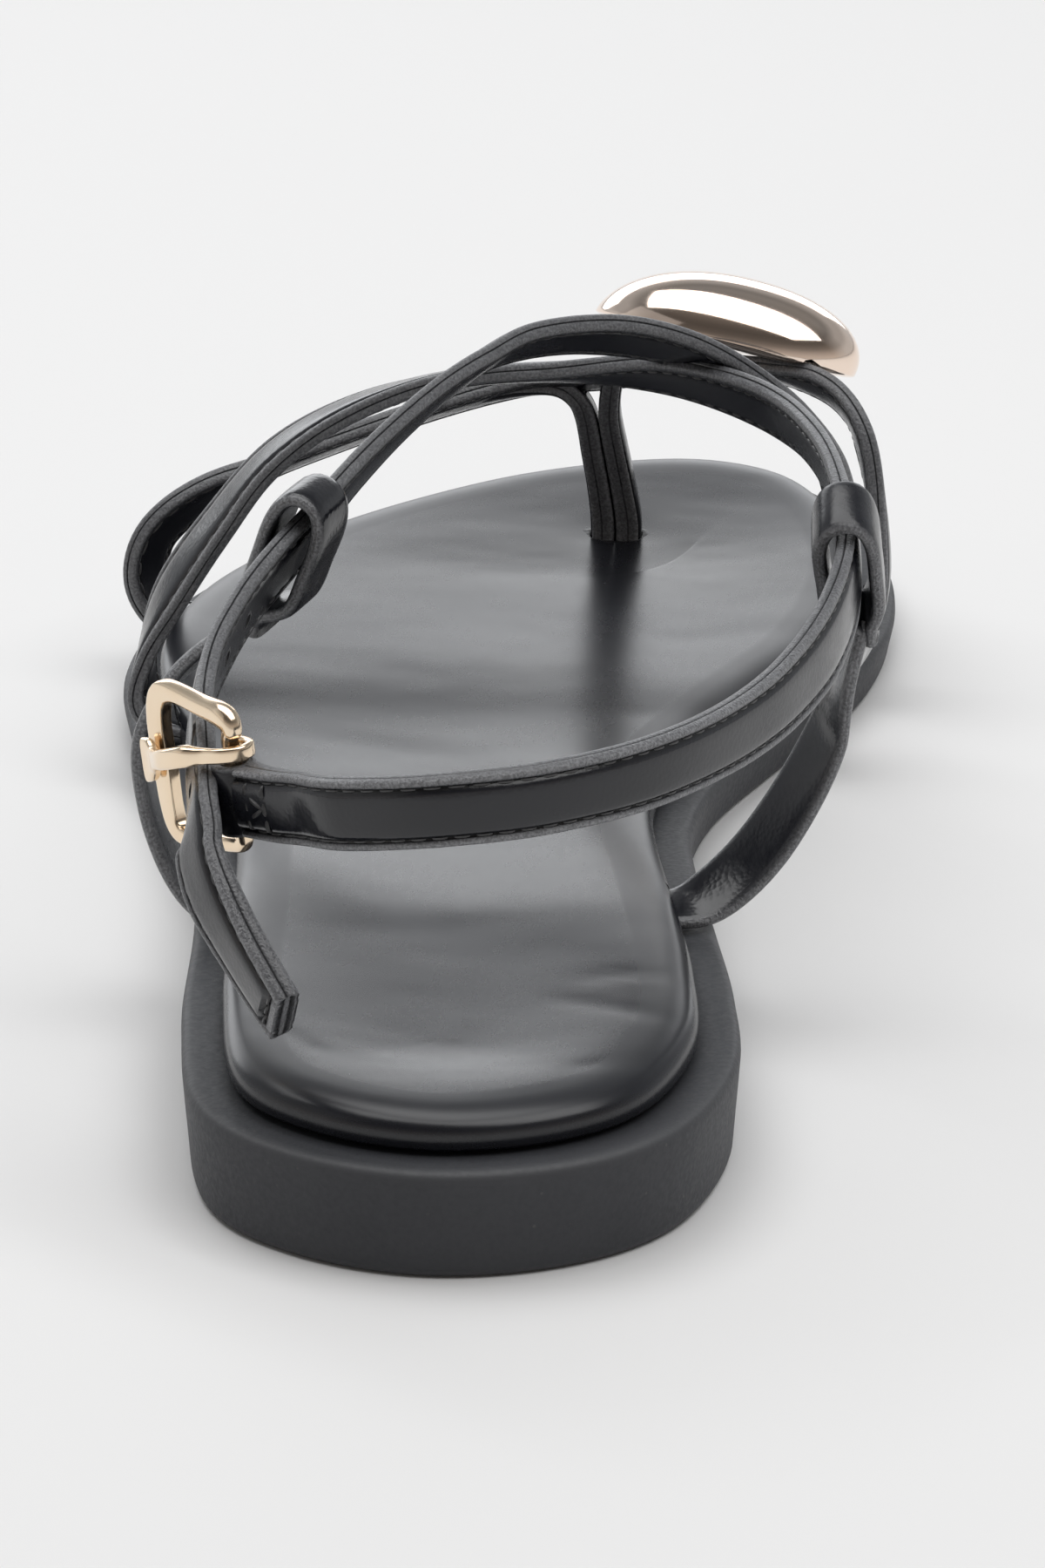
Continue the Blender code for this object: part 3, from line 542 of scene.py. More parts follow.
def bumped(tree, height, strength, distance, **under):
    """Bump from a height.  under is Normal=, a bump that this one lies on."""
    return node(tree, "Bump", Height=height, Strength=strength, Distance=distance,
                **under).outputs["Normal"]


def new_material(name):
    made = bpy.data.materials.new(name)
    made.use_nodes = True
    tree = made.node_tree
    return made, tree, tree.nodes["Principled BSDF"]


def surfaced(tree, shader, colour, rough, normal, gloss=0.5):
    for name, value in (("Base Color", colour), ("Roughness", rough), ("Normal", normal),
                        ("Specular IOR Level", gloss)):
        plug(tree, shader.inputs[name], value)


def zone_channels(tree):
    """Pale edge (edge paint, and a painted highlight on the face's rims), dark line (painted shade
    in stitch grooves, and real seams) and wear, set on each point by the mesh code.
    """
    painted = tree.nodes.new("ShaderNodeVertexColor")
    painted.layer_name = "zones"
    split = tree.nodes.new("ShaderNodeSeparateColor")
    tree.links.new(painted.outputs["Color"], split.inputs["Color"])
    return split.outputs["Red"], split.outputs["Green"], split.outputs["Blue"]


def leather(name, dark, light, edge_paint_and_rim_highlight, roughness, grain, grain_size, mottle=1.0):
    """Smooth black leather: pores, soft blotches, paler, rougher painted edges, a painted highlight
    on the face's rims and painted shade in the stitch grooves.
    """
    made, tree, shader = new_material(name)
    edge, line, wear = zone_channels(tree)
    blotches = object_noise(tree, 55.0, 3.0)
    pores = object_cells(tree, 1.0 / grain_size)
    fine = object_noise(tree, 3200.0)
    streaks = object_noise(tree, 900.0, 2.0, (1.0, 0.35, 1.0))
    body = blended(tree, mapped(tree, blotches, 0.3, 0.7), dark, light)
    body = blended(tree, scaled(tree, wear, 0.6), body, light)
    flecks = mapped(tree, fine, 0.35, 0.65, 0.45, 1.0)
    # the edge zone is paled: real edge paint on the cut sides, and a painted highlight on the rims
    # of the face
    body = blended(tree, maths(tree, "MULTIPLY", edge, flecks), body, edge_paint_and_rim_highlight)
    # painted shade: the stitch grooves are darkened; the same line also darkens the real seams
    # between layers
    body = blended(tree, scaled(tree, line, 0.85), body, (0.003, 0.003, 0.003))
    rough = mapped(tree, blotches, 0.3, 0.7, roughness - 0.05 * mottle, roughness + 0.06 * mottle)
    rough = maths(tree, "ADD", rough,
                  mapped(tree, streaks, 0.35, 0.65, -0.025 * mottle, 0.03 * mottle))
    rough = maths(tree, "ADD", rough, scaled(tree, edge, 0.24))
    rough = maths(tree, "ADD", rough, scaled(tree, wear, 0.1))
    normal = bumped(tree, pores, grain, grain_size * 0.35)
    normal = bumped(tree, streaks, grain * 0.6, 0.00012, Normal=normal)
    normal = bumped(tree, maths(tree, "MULTIPLY", fine, edge), 0.8, 0.0003, Normal=normal)
    surfaced(tree, shader, body, rough, normal, 0.55)
    return made


def rubber(name):
    """Matt black moulded rubber with faint specks and paler rims."""
    made, tree, shader = new_material(name)
    edge, _, _ = zone_channels(tree)
    blotches = object_noise(tree, 40.0, 4.0)
    grit = object_noise(tree, 1500.0, 3.0)
    specks = object_cells(tree, 420.0)
    body = blended(tree, mapped(tree, blotches, 0.3, 0.7),
                   (0.029, 0.0307, 0.0358), (0.040, 0.0418, 0.0475))
    dust = mapped(tree, specks, 0.05, 0.11, 0.55, 0.0)
    dust = maths(tree, "MULTIPLY", dust, mapped(tree, blotches, 0.42, 0.62))
    body = blended(tree, dust, body, (0.10, 0.10, 0.095))
    # the rims of the wall are made paler
    body = blended(tree, scaled(tree, edge, 0.75), body, (0.075, 0.077, 0.082))
    rough = mapped(tree, grit, 0.3, 0.7, 0.5, 0.64)
    normal = bumped(tree, grit, 0.3, 0.00018)
    normal = bumped(tree, blotches, 0.25, 0.0006, Normal=normal)
    surfaced(tree, shader, body, rough, normal, 0.42)
    return made


def gold(name, colour, warm, roughness):
    """Polished pale gold with faint polishing haze."""
    made, tree, shader = new_material(name)
    haze = object_noise(tree, 160.0, 3.0)
    lines = object_noise(tree, 900.0, 2.0, (1.0, 0.12, 1.0))
    surfaced(tree, shader, blended(tree, mapped(tree, haze, 0.3, 0.7), colour, warm),
             mapped(tree, haze, 0.3, 0.7, roughness, roughness + 0.05),
             bumped(tree, lines, 0.05, 0.00005))
    shader.inputs["Metallic"].default_value = 1.0
    return made


def thread_material(name):
    made, tree, shader = new_material(name)
    twist_and_highlight = object_noise(tree, 2600.0)
    # the thread's paler streaks are partly its twist and partly a painted highlight
    surfaced(tree, shader, blended(tree, twist_and_highlight, (0.006, 0.006, 0.006), (0.075, 0.075, 0.078)),
             mapped(tree, twist_and_highlight, 0.3, 0.7, 0.34, 0.5), bumped(tree, twist_and_highlight, 0.5, 0.0001))
    return made


STRAP_LEATHER = leather("strap_black_leather", (0.006, 0.0066, 0.0095), (0.0105, 0.0113, 0.0155),
                        (0.25, 0.255, 0.267), 0.2, 0.07, 0.0006)
BED_LEATHER = leather("footbed_black_leather", (0.006, 0.0066, 0.0095), (0.010, 0.0108, 0.015),
                      (0.03, 0.03, 0.03), 0.27, 0.006, 0.0007, 0.2)
SOLE_RUBBER = rubber("sole_black_rubber")
BUCKLE_GOLD = gold("buckle_pale_gold", (0.93, 0.77, 0.58), (0.90, 0.72, 0.52), 0.16)
ORNAMENT_GOLD = gold("ornament_rose_gold", (0.95, 0.80, 0.69), (0.93, 0.77, 0.65), 0.07)
THREAD = thread_material("black_thread")


# ---- sole and footbed
OUTLINE_STEPS = 150


def edge_points(rows, opposite):
    """Evenly spaced points of one edge; the opposite edge carries its curve past both ends."""
    carried_on = [opposite[1]] + rows + [opposite[-2]]
    places = [catmull(carried_on, i / FINE) for i in range(FINE, len(rows) * FINE + 1)]
    points = []
    for at, share in evenly(lengths_along(places), OUTLINE_STEPS):
        (x0, y0), (x1, y1) = places[at], places[at + 1]
        points.append((x0 + (x1 - x0) * share, y0 + (y1 - y0) * share))
    return points


def outline():
    """The sole's edge as one ring: up the medial side to the toe, and down the lateral side."""
    medial = edge_points(MEDIAL_EDGE, LATERAL_EDGE)
    lateral = edge_points(LATERAL_EDGE, MEDIAL_EDGE)
    return medial + lateral[-2:0:-1]


def inset(ring, distance):
    """The ring moved inwards."""
    moved = []
    count = len(ring)
    for i, (x, y) in enumerate(ring):
        x0, y0 = ring[(i - 3) % count]
        x1, y1 = ring[(i + 3) % count]
        length = math.hypot(x1 - x0, y1 - y0)
        moved.append((x - (y1 - y0) / length * distance, y + (x1 - x0) / length * distance))
    return moved


def towards_spine(ring, share, spine_end=218.0):
    """The ring drawn towards the line midway between its medial and its lateral side."""
    count = len(ring)
    moved = []
    for i, (x, y) in enumerate(ring):
        across = ring[(count - i) % count]
        middle_x = (x + across[0]) / 2.0
        middle_y = min(max((y + across[1]) / 2.0, 30.0), spine_end)
        moved.append((x + (middle_x - x) * share, y + (middle_y - y) * share))
    return moved


def spring(y):
    """How far the sole lifts towards the toe."""
    rise = max(0.0, (y - SPRING_START) / (SOLE_LENGTH - SPRING_START))
    return SPRING_RISE * rise * rise


def sole_top(y):
    return HEEL_TOP + (FORE_TOP - HEEL_TOP) * ease(y, SLOPE_START, SLOPE_END) + spring(y)


def layered_faces(layers, count):
    """Faces between rings, closed at both ends by strips from the medial to the lateral edge."""
    half = count // 2
    faces = tube_faces(layers, count)[:-2]
    for start in (0, (layers - 1) * count):
        faces.append((start, start + 1, start + count - 1))
        for i in range(1, half - 1):
            faces.append((start + i, start + i + 1, start + count - i - 1, start + count - i))
        faces.append((start + half - 1, start + half, start + half + 1))
    return faces


def arch_cutter():
    """The hollow under the arch, highest at the front face of the heel block."""
    start = BREAST + 1.6

    def remaining(y):
        return 1.0 - ease(y, BREAST - 30.0, ARCH_END)

    profile = [(BREAST - 0.6, -5.0), (BREAST - 0.6, 0.0), (BREAST + 0.4, BREAST_RISE - 1.2),
               (BREAST + 0.9, BREAST_RISE - 0.4), (start, BREAST_RISE)]
    steps = 30
    for i in range(1, steps + 1):
        y = start + (ARCH_END - start) * i / steps
        profile.append((y, BREAST_RISE * remaining(y) / remaining(start)))
    profile[-1] = (ARCH_END, -0.001)
    profile.append((ARCH_END, -5.0))
    vertices = [(x, y, z) for x in (-80.0, 80.0) for y, z in profile]
    return cutter(vertices, len(profile))


FOOT_ROUND = 1.0  # height of the rounding at the foot of the sole's wall
TOP_ROUND = 1.5  # and under its upper edge
WALL = [
    # inset at the wall, height as a share of the wall, extra height, paler rim colour
    (1.9, 0, 0, 0.3),
    (1.25, 0, 0.12, 0.5),
    (0.95, 0, 0.45, 0.4),
    (0.8, 0, 1, 0.1),
    (0.5, 0.4, 0, 0),
    (0.2, 0.75, 0, 0),
    (0, 1, -1.5, 0.05),
    (0.03, 1, -0.95, 0.25),
    (0.22, 1, -0.45, 0.7),
    (0.6, 1, -0.12, 1),
    (1.15, 1, 0, 0.5),
    (2, 1, 0, 0.1),
    (4.4, 1, -0.05, 0),
    (6.5, 1, -0.15, 0),
]


def build_outsole():
    ring = outline()
    vertices = []
    zones = []
    for away, share, extra, rim_paleness in WALL:
        for x, y in inset(ring, away):
            low = spring(y)
            high = sole_top(y)
            z = low + (high - low) * share + extra
            if 0.0 < share < 1.0:
                z = low + FOOT_ROUND + (high - low - FOOT_ROUND - TOP_ROUND) * share
            vertices.append((x + uneven(x, y, z, 14.0, 0.06), y + uneven(y, z, x, 14.0, 0.06), z))
            zones.append((rim_paleness, 0.0, 0.0))
    last_inset, _, sunk, _ = WALL[-1]
    for share in (0.25, 0.5):
        for x, y in towards_spine(inset(ring, last_inset), share):
            vertices.append((x, y, sole_top(y) + sunk))
            zones.append((0.0, 0.0, 0.0))
    count = len(ring)
    piece = make_piece("rubber_outsole", vertices, layered_faces(len(vertices) // count, count),
                       SOLE_RUBBER, ["outsole"], zones)
    cut(piece, [arch_cutter(), tread_cutter(ring)], 32.0)


TREAD = [
    # first groove, last groove, spacing
    (6, 58, 5.2),
    (158, 236, 5.2),
]
TREAD_DEPTH = 0.7
TREAD_HALF_WIDTH = 0.8
TREAD_MARGIN = 7.0
TREAD_WAVE = 1.1  # how far a groove swings to and fro


def tread_cutter(ring):
    """Shallow wavy grooves across the underside of the heel and the forefoot."""
    def edges(y):
        crossings = []
        for (x0, y0), (x1, y1) in zip(ring, ring[1:] + ring[:1]):
            if min(y0, y1) <= y <= max(y0, y1) and abs(y1 - y0) > 1e-6:
                crossings.append(x0 + (x1 - x0) * (y - y0) / (y1 - y0))
        return min(crossings) + TREAD_MARGIN, max(crossings) - TREAD_MARGIN

    vertices = []
    faces = []
    for first, last, spacing in TREAD:
        y = first
        while y <= last:
            left, right = edges(y)
            steps = max(6, int((right - left) / 1.6))
            start = len(vertices)
            for i in range(steps + 1):
                x = left + (right - left) * i / steps
                middle = y + TREAD_WAVE * math.sin(x / 3.2)
                depth = spring(middle) + TREAD_DEPTH
                vertices += [(x, middle + TREAD_HALF_WIDTH * share, z) for share, z in (
                    (-1.0, -3.0), (-0.7, depth), (0.7, depth), (1.0, -3.0))]
            add_tube(vertices, faces, start, 4)
            y += spacing
    return closed_shape("cutter", vertices, faces)


BED_SIDE = [
    # inset beyond the footbed's edge, height above the sole
    (1.3, 0.35),
    (0.5, 0.5),
    (0.1, 1),
    (0, 1.8),
    (0.06, 2.6),
    (0.3, 3.25),
    (0.75, 3.75),
    (1.4, 4.15),
    (2.2, 4.44),
    (3.1, 4.64),
    (4, 4.76),
    (5, 4.82),
    (6.4, 4.84),
]
BED_RING_STEPS = 34  # rings from the rolled edge in to the middle
BED_REACH = 0.985  # share of the way to the spine that the last ring goes
BED_SPINE_END = 200.0
FORE_DISH = 0.4  # share of the dish that is left in the forefoot
POST_DIP = (0.22, 6.0)  # depth and half width of the dip round the toe post
BED_CREASES = [
    # x, y, x, y, depth, half width
    (8, 40, 25, 37, 0.13, 1.5),
    (12, 47, 26, 45.5, 0.10, 1.4),
    (-22, 96, 8, 93, 0.09, 3.2),
    (-30, 113, 4, 110, 0.07, 3.6),
    (-8, 122, 20, 126, 0.06, 3),
    (-36, 136, -8, 131, 0.06, 3.4),
    (2, 146, 30, 152, 0.05, 3.2),
    (-44, 166, -14, 160, 0.05, 3.6),
    (10, 176, 34, 184, 0.04, 3.2),
    (-20, 60, 6, 61.5, 0.05, 3.4),
    (-24, 28, -12, 22, 0.08, 1.6),
    (14, 18, 23, 25, 0.08, 1.6),
]


def crease_lift(x, y):
    """How far the footbed's surface lies above its smooth form; creases lie below it."""
    lift = uneven(x, y * 1.8, 0.0, 22.0, 0.08) + uneven(x, y * 2.4, 5.0, 7.0, 0.02)
    for x0, y0, x1, y1, deep, half_width in BED_CREASES:
        length = math.hypot(x1 - x0, y1 - y0)
        along_x = (x1 - x0) / length
        along_y = (y1 - y0) / length
        t = ((x - x0) * along_x + (y - y0) * along_y) / length
        if t < -0.1 or t > 1.1:
            continue
        bend = 1.5 * math.sin(3.0 * t + x0)
        away = (x - x0) * -along_y + (y - y0) * along_x - bend
        window = ease(t, -0.1, 0.3) * (1.0 - ease(t, 0.7, 1.1))
        lift -= deep * math.exp(-(away / half_width) ** 2) * window
    deep, half_width = POST_DIP
    return lift - deep * math.exp(-(math.dist((x, y), TOE_POST_PLACE) / half_width) ** 2)


def build_footbed():
    ring = outline()
    vertices = []
    zones = []
    for away, height in BED_SIDE:
        for x, y in inset(ring, BED_INSET + away):
            top = ease(height, 3.4, 4.6)
            z = sole_top(y) + height + crease_lift(x, y) * 0.7 * top
            vertices.append((x, y, z))
            zones.append((0.0, 0.0, 0.5 * top))
    edge = inset(ring, BED_INSET + BED_SIDE[-1][0])
    for step in range(1, BED_RING_STEPS + 1):
        share = BED_REACH * step / BED_RING_STEPS
        for x, y in towards_spine(edge, share, BED_SPINE_END):
            dish = BED_DISH * (1.0 - (1.0 - FORE_DISH) * ease(y, 70.0, 150.0))
            height = BED_SIDE[-1][1] - dish * ease(share, 0.0, 0.95)
            vertices.append((x, y, sole_top(y) + height + crease_lift(x, y)))
            zones.append((0.0, 0.0, 0.0))
    count = len(ring)
    piece = make_piece("padded_footbed", vertices, layered_faces(len(vertices) // count, count),
                       BED_LEATHER, ["insole"], zones)
    cut(piece, footbed_seats(), 50.0)


# ---- straps
# Half sections, with the width and thickness that they are drawn for.  A strap scales them.
STITCHED = (10.0, 2.4, [
    # across from the middle, out, pale edge (edge paint on the sides, painted highlight on the
    # face's rims), dark line (painted shade in stitch grooves, a real seam at the side)
    (0, 1.32, 0, 0),
    (0.9, 1.32, 0, 0),
    (1.8, 1.3, 0, 0),
    (2.6, 1.24, 0, 0),
    (3, 1.14, 0, 0),
    # the stitch groove, darkened as painted shade
    (3.3, 0.92, 0, 0.6),
    (3.5, 0.76, 0, 1),
    (3.7, 0.82, 0, 0.8),
    # the rim of the face, made pale as a painted highlight; round the side the pale is edge paint
    (3.88, 0.98, 0.6, 0),
    (4.2, 1.06, 1, 0),
    (4.55, 1, 1, 0),
    (4.8, 0.8, 0.7, 0),
    (4.93, 0.52, 0.5, 0),
    (4.95, 0.22, 0.5, 0),
    (4.82, 0.08, 0.3, 0.9),
    (4.95, -0.06, 0.5, 0),
    (4.97, -0.5, 0.5, 0),
    (4.88, -0.82, 0.75, 0),
    (4.6, -1.04, 0.7, 0),
    (4.2, -1.15, 0.2, 0),
    # the inside stitch groove, darkened as painted shade
    (3.75, -1.14, 0, 0.3),
    (3.52, -1.04, 0, 0.9),
    (3.3, -1.12, 0, 0.3),
    (2.6, -1.19, 0, 0),
    (1.3, -1.2, 0, 0),
    (0, -1.2, 0, 0),
])
PLAIN = (8.6, 1.8, [
    (0, 0.92, 0, 0),
    (1.2, 0.92, 0, 0),
    (2.3, 0.9, 0, 0),
    (3.1, 0.86, 0, 0),
    (3.7, 0.75, 0.1, 0),
    (4.08, 0.52, 0.6, 0),
    (4.26, 0.22, 1, 0),
    (4.24, 0, 1, 0.4),
    (4.28, -0.2, 1, 0),
    (4.14, -0.52, 0.7, 0),
    (3.8, -0.76, 0.2, 0),
    (3.1, -0.87, 0, 0),
    (1.6, -0.9, 0, 0),
    (0, -0.9, 0, 0),
])
CUT_END = [
    # the two layers that show in the squared end: width, thickness, painted edge, seam line
    (0.965, 0.8, 1, 0),
    (0.95, 0.62, 0.5, 0.6),
    (0.94, 0.34, 0.2, 1),
    (0.93, 0.16, 0.9, 0),
]
STITCH_LINE = 3.52  # from the middle of a strap 10 wide
STITCH_PITCH = 2.5
STITCHES_START = 11.0  # from the end of a strap that is set in the sole
STITCH_OUTSIDE = 0.82  # height of the stitches above a strap's middle
STITCH_INSIDE = -1.05
STITCH_RADIUS = 0.2
RIM = 1.04  # height of the rim across a squared end
END_LINE = 0.78  # height of the stitch line inside it
END_LINE_NEAR, END_LINE_FAR = 1.3, 2.2  # from the end
LINE_REACH, RIM_REACH = 3.7, 4.2  # from the middle
RAGGED = 0.07  # roughness of a painted edge
WAVINESS = 0.012  # slow change of a strap's width, as a share
UNDULATION = 0.05  # slow rise and fall of its faces


def section(half, width_scale, thickness_scale):
    """The closed section from its half: round one edge, and back round the other."""
    points = [(a * width_scale, b * thickness_scale, e, g) for a, b, e, g in half]
    return points + [(-a, b, e, g) for a, b, e, g in points[-2:0:-1]]


def narrowed(position, taper):
    """The share of its width a strap keeps at a row."""
    start, end, share = taper
    return 1.0 + (share - 1.0) * ease(position, start, end)


def swept(name, rows, profile, width, step, replaced, seed, reshape=None, trim_end=0.0,
          blunt_end=False, taper=(0.0, 1.0, 1.0)):
    """A strap swept along its route, with rough painted edges, rims made pale as a painted
    highlight, and slight hand-made waviness.
    """
    full_width, full_thickness, half = profile
    stations = stations_along(rows, step)
    length = stations[-1].travelled
    stations = [s for s in stations if s.travelled <= length - trim_end + 1e-6]
    end = stations[-1]
    vertices = []
    zones = []
    count = 0
    for station in stations:
        travelled = station.travelled
        from_end = length - travelled
        thickness_scale = station.thickness / full_thickness
        points = section(half, width * narrowed(station.position, taper) / full_width,
                         thickness_scale)
        count = len(points)
        grow = 0.98 if blunt_end and station is end else 1.0
        wave = smooth_noise(travelled / 19.0, seed, 0.0)
        for a, b, edge, line in points:
            if reshape is not None:
                a, b = reshape(from_end, a, b)
            if blunt_end and from_end < END_LINE_FAR and b > 0.0 and abs(a) < RIM_REACH:
                # the panel stops at a line of stitches across the end, darkened as painted shade,
                # with a rim beyond made pale as a painted highlight
                on_line = from_end > END_LINE_NEAR and abs(a) < LINE_REACH
                b = min(b, (END_LINE if on_line else RIM) * thickness_scale)
                line = 1.0 if on_line else 0.0
                edge = 0.0 if on_line else 1.0
            ragged = edge * RAGGED * smooth_noise(travelled / 1.3, b * 1.5, seed + a)
            a = a * grow * (1.0 + WAVINESS * wave) + math.copysign(ragged, a)
            b = b * grow + UNDULATION * smooth_noise(travelled / 8.0, a / 5.0, seed + 9.0)
            vertices.append(station.point(a, b))
            wear = max(0.0, smooth_noise(travelled / 16.0, a / 4.0, seed + 4.0))
            zones.append((edge, line, wear))
    rings = len(stations)
    if blunt_end:
        outer = [vertex - end.place for vertex in vertices[-count:]]
        for wide, thick, edge, line in CUT_END:
            vertices += [end.point(offset.dot(end.across) * wide, offset.dot(end.out) * thick)
                         for offset in outer]
            zones += [(edge, line, 0.0)] * count
        rings += len(CUT_END)
    return make_piece(name, vertices, tube_faces(rings, count), STRAP_LEATHER,
                      replaced, zones)


def stitch(vertices, faces, ends, out, radius):
    """One stitch: a short round thread that dips into the leather at its ends."""
    first, last = ends
    along = (last - first).normalized()
    side = along.cross(out).normalized()
    sides = 6
    profile = [
        # share along, radius, sinking
        (0.0, 0.35, 1.1), (0.12, 0.85, 0.5), (0.32, 1.0, 0.05), (0.68, 1.0, 0.05),
        (0.88, 0.85, 0.5), (1.0, 0.35, 1.1),
    ]
    start = len(vertices)
    for share, thick, sink in profile:
        middle = first.lerp(last, share) - out * radius * sink
        for i in range(sides):
            angle = math.tau * i / sides
            vertices.append(middle + side * (radius * thick * math.cos(angle))
                            + out * (radius * thick * math.sin(angle)))
    add_tube(vertices, faces, start, sides)


def threads(name, vertices, faces):
    make_piece(name, vertices, faces, THREAD)


def stitches_across(name, station, height, reach, half_length, radius):
    """Three stitches in a row across a strap."""
    vertices = []
    faces = []
    for a in (-reach, 0.0, reach):
        ends = [station.point(a + side * half_length, height) for side in (-1.0, 1.0)]
        stitch(vertices, faces, ends, station.out, radius)
    threads(name, vertices, faces)


def stitched_rows(name, rows, width, stop_before, taper=(0.0, 1.0, 1.0)):
    """Stitches along both edges, outside and inside, from where the strap leaves the sole to a
    distance before its end."""
    stations = stations_along(rows, 0.5)
    length = stations[-1].travelled
    offset = STITCH_LINE * width / STRAP_WIDTH
    vertices = []
    faces = []

    def at(distance, a, height):
        index = min(int(distance / length * (len(stations) - 1)), len(stations) - 1)
        station = stations[index]
        return station.point(a * narrowed(station.position, taper),
                             height * station.thickness / STITCHED[1]), station.out

    distance = STITCHES_START
    while distance + STITCH_PITCH < length - stop_before:
        for a in (-offset, offset):
            for height, turn in ((STITCH_OUTSIDE, 1.0), (STITCH_INSIDE, -1.0)):
                first, out = at(distance + 0.25, a, height)
                last, _ = at(distance + STITCH_PITCH - 0.3, a, height)
                stitch(vertices, faces, (first, last), out * turn, STITCH_RADIUS)
        distance += STITCH_PITCH
    threads(name, vertices, faces)


def seat_cutter(rows, width, rows_in=2.6, grow=0.12, from_end=False):
    """Room under the footbed for one end of a strap."""
    vertices = []
    for station in stations_along(rows, 1.2):
        from_the_end = len(rows) - 1.0 - station.position if from_end else station.position
        if from_the_end > rows_in:
            continue
        if from_the_end < 1e-6:
            station.place = station.place + station.along * (grow if from_end else -grow)
        vertices += station.room(width / 2.0 + grow, station.thickness / 2.0 + grow)
    return cutter(vertices, 6)


def post_cutter():
    """The hole in the footbed that the toe post goes down through."""
    sides = 24
    ring = superellipse(*POST_HOLE, 0.6, sides, 0.0)
    return cutter([(TOE_POST_PLACE[0] + a, TOE_POST_PLACE[1] + b, z) for z in (3.0, 13.0)
                   for a, b in ring], sides)


def looped(rows, held, loop):
    """A keeper's route, with its loop round the strap that it holds."""
    row_number, lean_by = loop
    station = Station(held, row_number - 1.0)
    up = station.across if station.across.z > 0.0 else -station.across
    lean = (up - station.along * lean_by).normalized()
    route = list(rows)
    for a, b, n_up, n_out in KEEPER_LOOP:
        point = station.place + lean * a + station.out * b
        normal = lean * n_up + station.out * n_out
        route.append((*point, *normal, rows[-1][6]))
    return route


def footbed_seats():
    lateral = looped(LATERAL_KEEPER, TAIL_STRAP, LATERAL_LOOP)
    medial = looped(MEDIAL_KEEPER, ANKLE_STRAP, MEDIAL_LOOP)
    return [
        post_cutter(),
        seat_cutter(ANKLE_STRAP, STRAP_WIDTH),
        seat_cutter(TAIL_STRAP, STRAP_WIDTH),
        seat_cutter(TOE_STRAP, TOE_STRAP_WIDTH),
        seat_cutter(TOE_STRAP, TOE_STRAP_WIDTH, from_end=True),
        seat_cutter(lateral, KEEPER_WIDTH),
        seat_cutter(medial, KEEPER_WIDTH, 3.0, 0.3),
    ]


ANKLE_TRIM = 1.9  # the ankle strap's two layers part here to go round the hinge


def ankle_reshape(from_end, a, b):
    """The doubled end swells towards the fold."""
    return a, b * (1.0 + 0.32 * ease(-from_end, -6.5, -1.6))


def build_ankle_strap():
    swept("ankle_strap", ANKLE_STRAP, STITCHED, STRAP_WIDTH, 0.8, ["upper"], 1.0, ankle_reshape,
          ANKLE_TRIM, taper=ANKLE_TAPER)
    stitched_rows("ankle_strap_stitches", ANKLE_STRAP, STRAP_WIDTH, 3.0, ANKLE_TAPER)
    build_box_stitch()
    build_fold()


def build_box_stitch():
    """Two rows across the doubled end beside the buckle, tied by short threads."""
    stations = stations_along(ANKLE_STRAP, 0.25)
    vertices = []
    faces = []

    def point(from_end, a):
        station = station_from_end(stations, from_end)
        return station.point(a * ANKLE_TAPER[2], station.thickness / 2.0 * 1.1), station.out

    # from the end, across, from the end, across
    rows = [(away, a0, away, a1) for away in (4.6, 7.8)
            for a0, a1 in ((-3.3, -1.3), (-1.1, 1.1), (1.3, 3.3))]
    rows += [(4.8, -1.6, 7.6, 0.1), (4.8, 1.6, 7.6, -0.1)]
    for d0, a0, d1, a1 in rows:
        first, out = point(d0, a0)
        last, _ = point(d1, a1)
        stitch(vertices, faces, (first, last), out, 0.3)
    threads("ankle_strap_box_stitch", vertices, faces)


def buckle_axes():
    along = Vector(BUCKLE_U).normalized()
    up = squared(Vector(BUCKLE_W), along)
    return along, up, up.cross(along)


def buckle_point(u, w, n):
    along, up, out = buckle_axes()
    return Vector(HINGE) + along * u + up * w + out * n


HINGE_ROOM = 1.4  # radius of the fold round the hinge bar


def build_fold():
    """The leather round the hinge bar."""
    inner = HINGE_ROOM
    outer = inner + STRAP_EYE_WALL
    half = STRAP_WIDTH * ANKLE_TAPER[2] / 2.0 - 0.05
    ring = section([
        # along the bar, radius, painted edge, stitch line
        (0.0, outer + 0.03, 0.0, 0.0), (half - 0.5, outer, 0.0, 0.0),
        (half - 0.12, outer - 0.12, 0.8, 0.0), (half, outer - 0.45, 1.0, 0.0),
        (half - 0.08, (inner + outer) / 2.0, 1.0, 0.0), (half, inner + 0.4, 1.0, 0.0),
        (half - 0.12, inner + 0.1, 1.0, 0.0), (0.0, inner, 0.0, 0.0),
    ], 1.0, 1.0)
    vertices = []
    zones = []
    around = 56
    for i in range(around):
        angle = math.tau * i / around
        for w, radius, edge, _ in ring:
            ragged = 0.05 * edge * smooth_noise(angle * 3.0, radius, w)
            vertices.append(buckle_point(radius * math.cos(angle), STRAP_ON_HINGE + w + ragged,
                                         radius * math.sin(angle)))
            zones.append((edge, 0.0, 0.2))
    make_piece("ankle_strap_fold", vertices, tube_faces(around, len(ring), True), STRAP_LEATHER,
               ["upper"], zones)


HOLES_FROM_TAIL_END = (31.0, 57.0, 65.0)
HOLE_RADIUS = 0.85


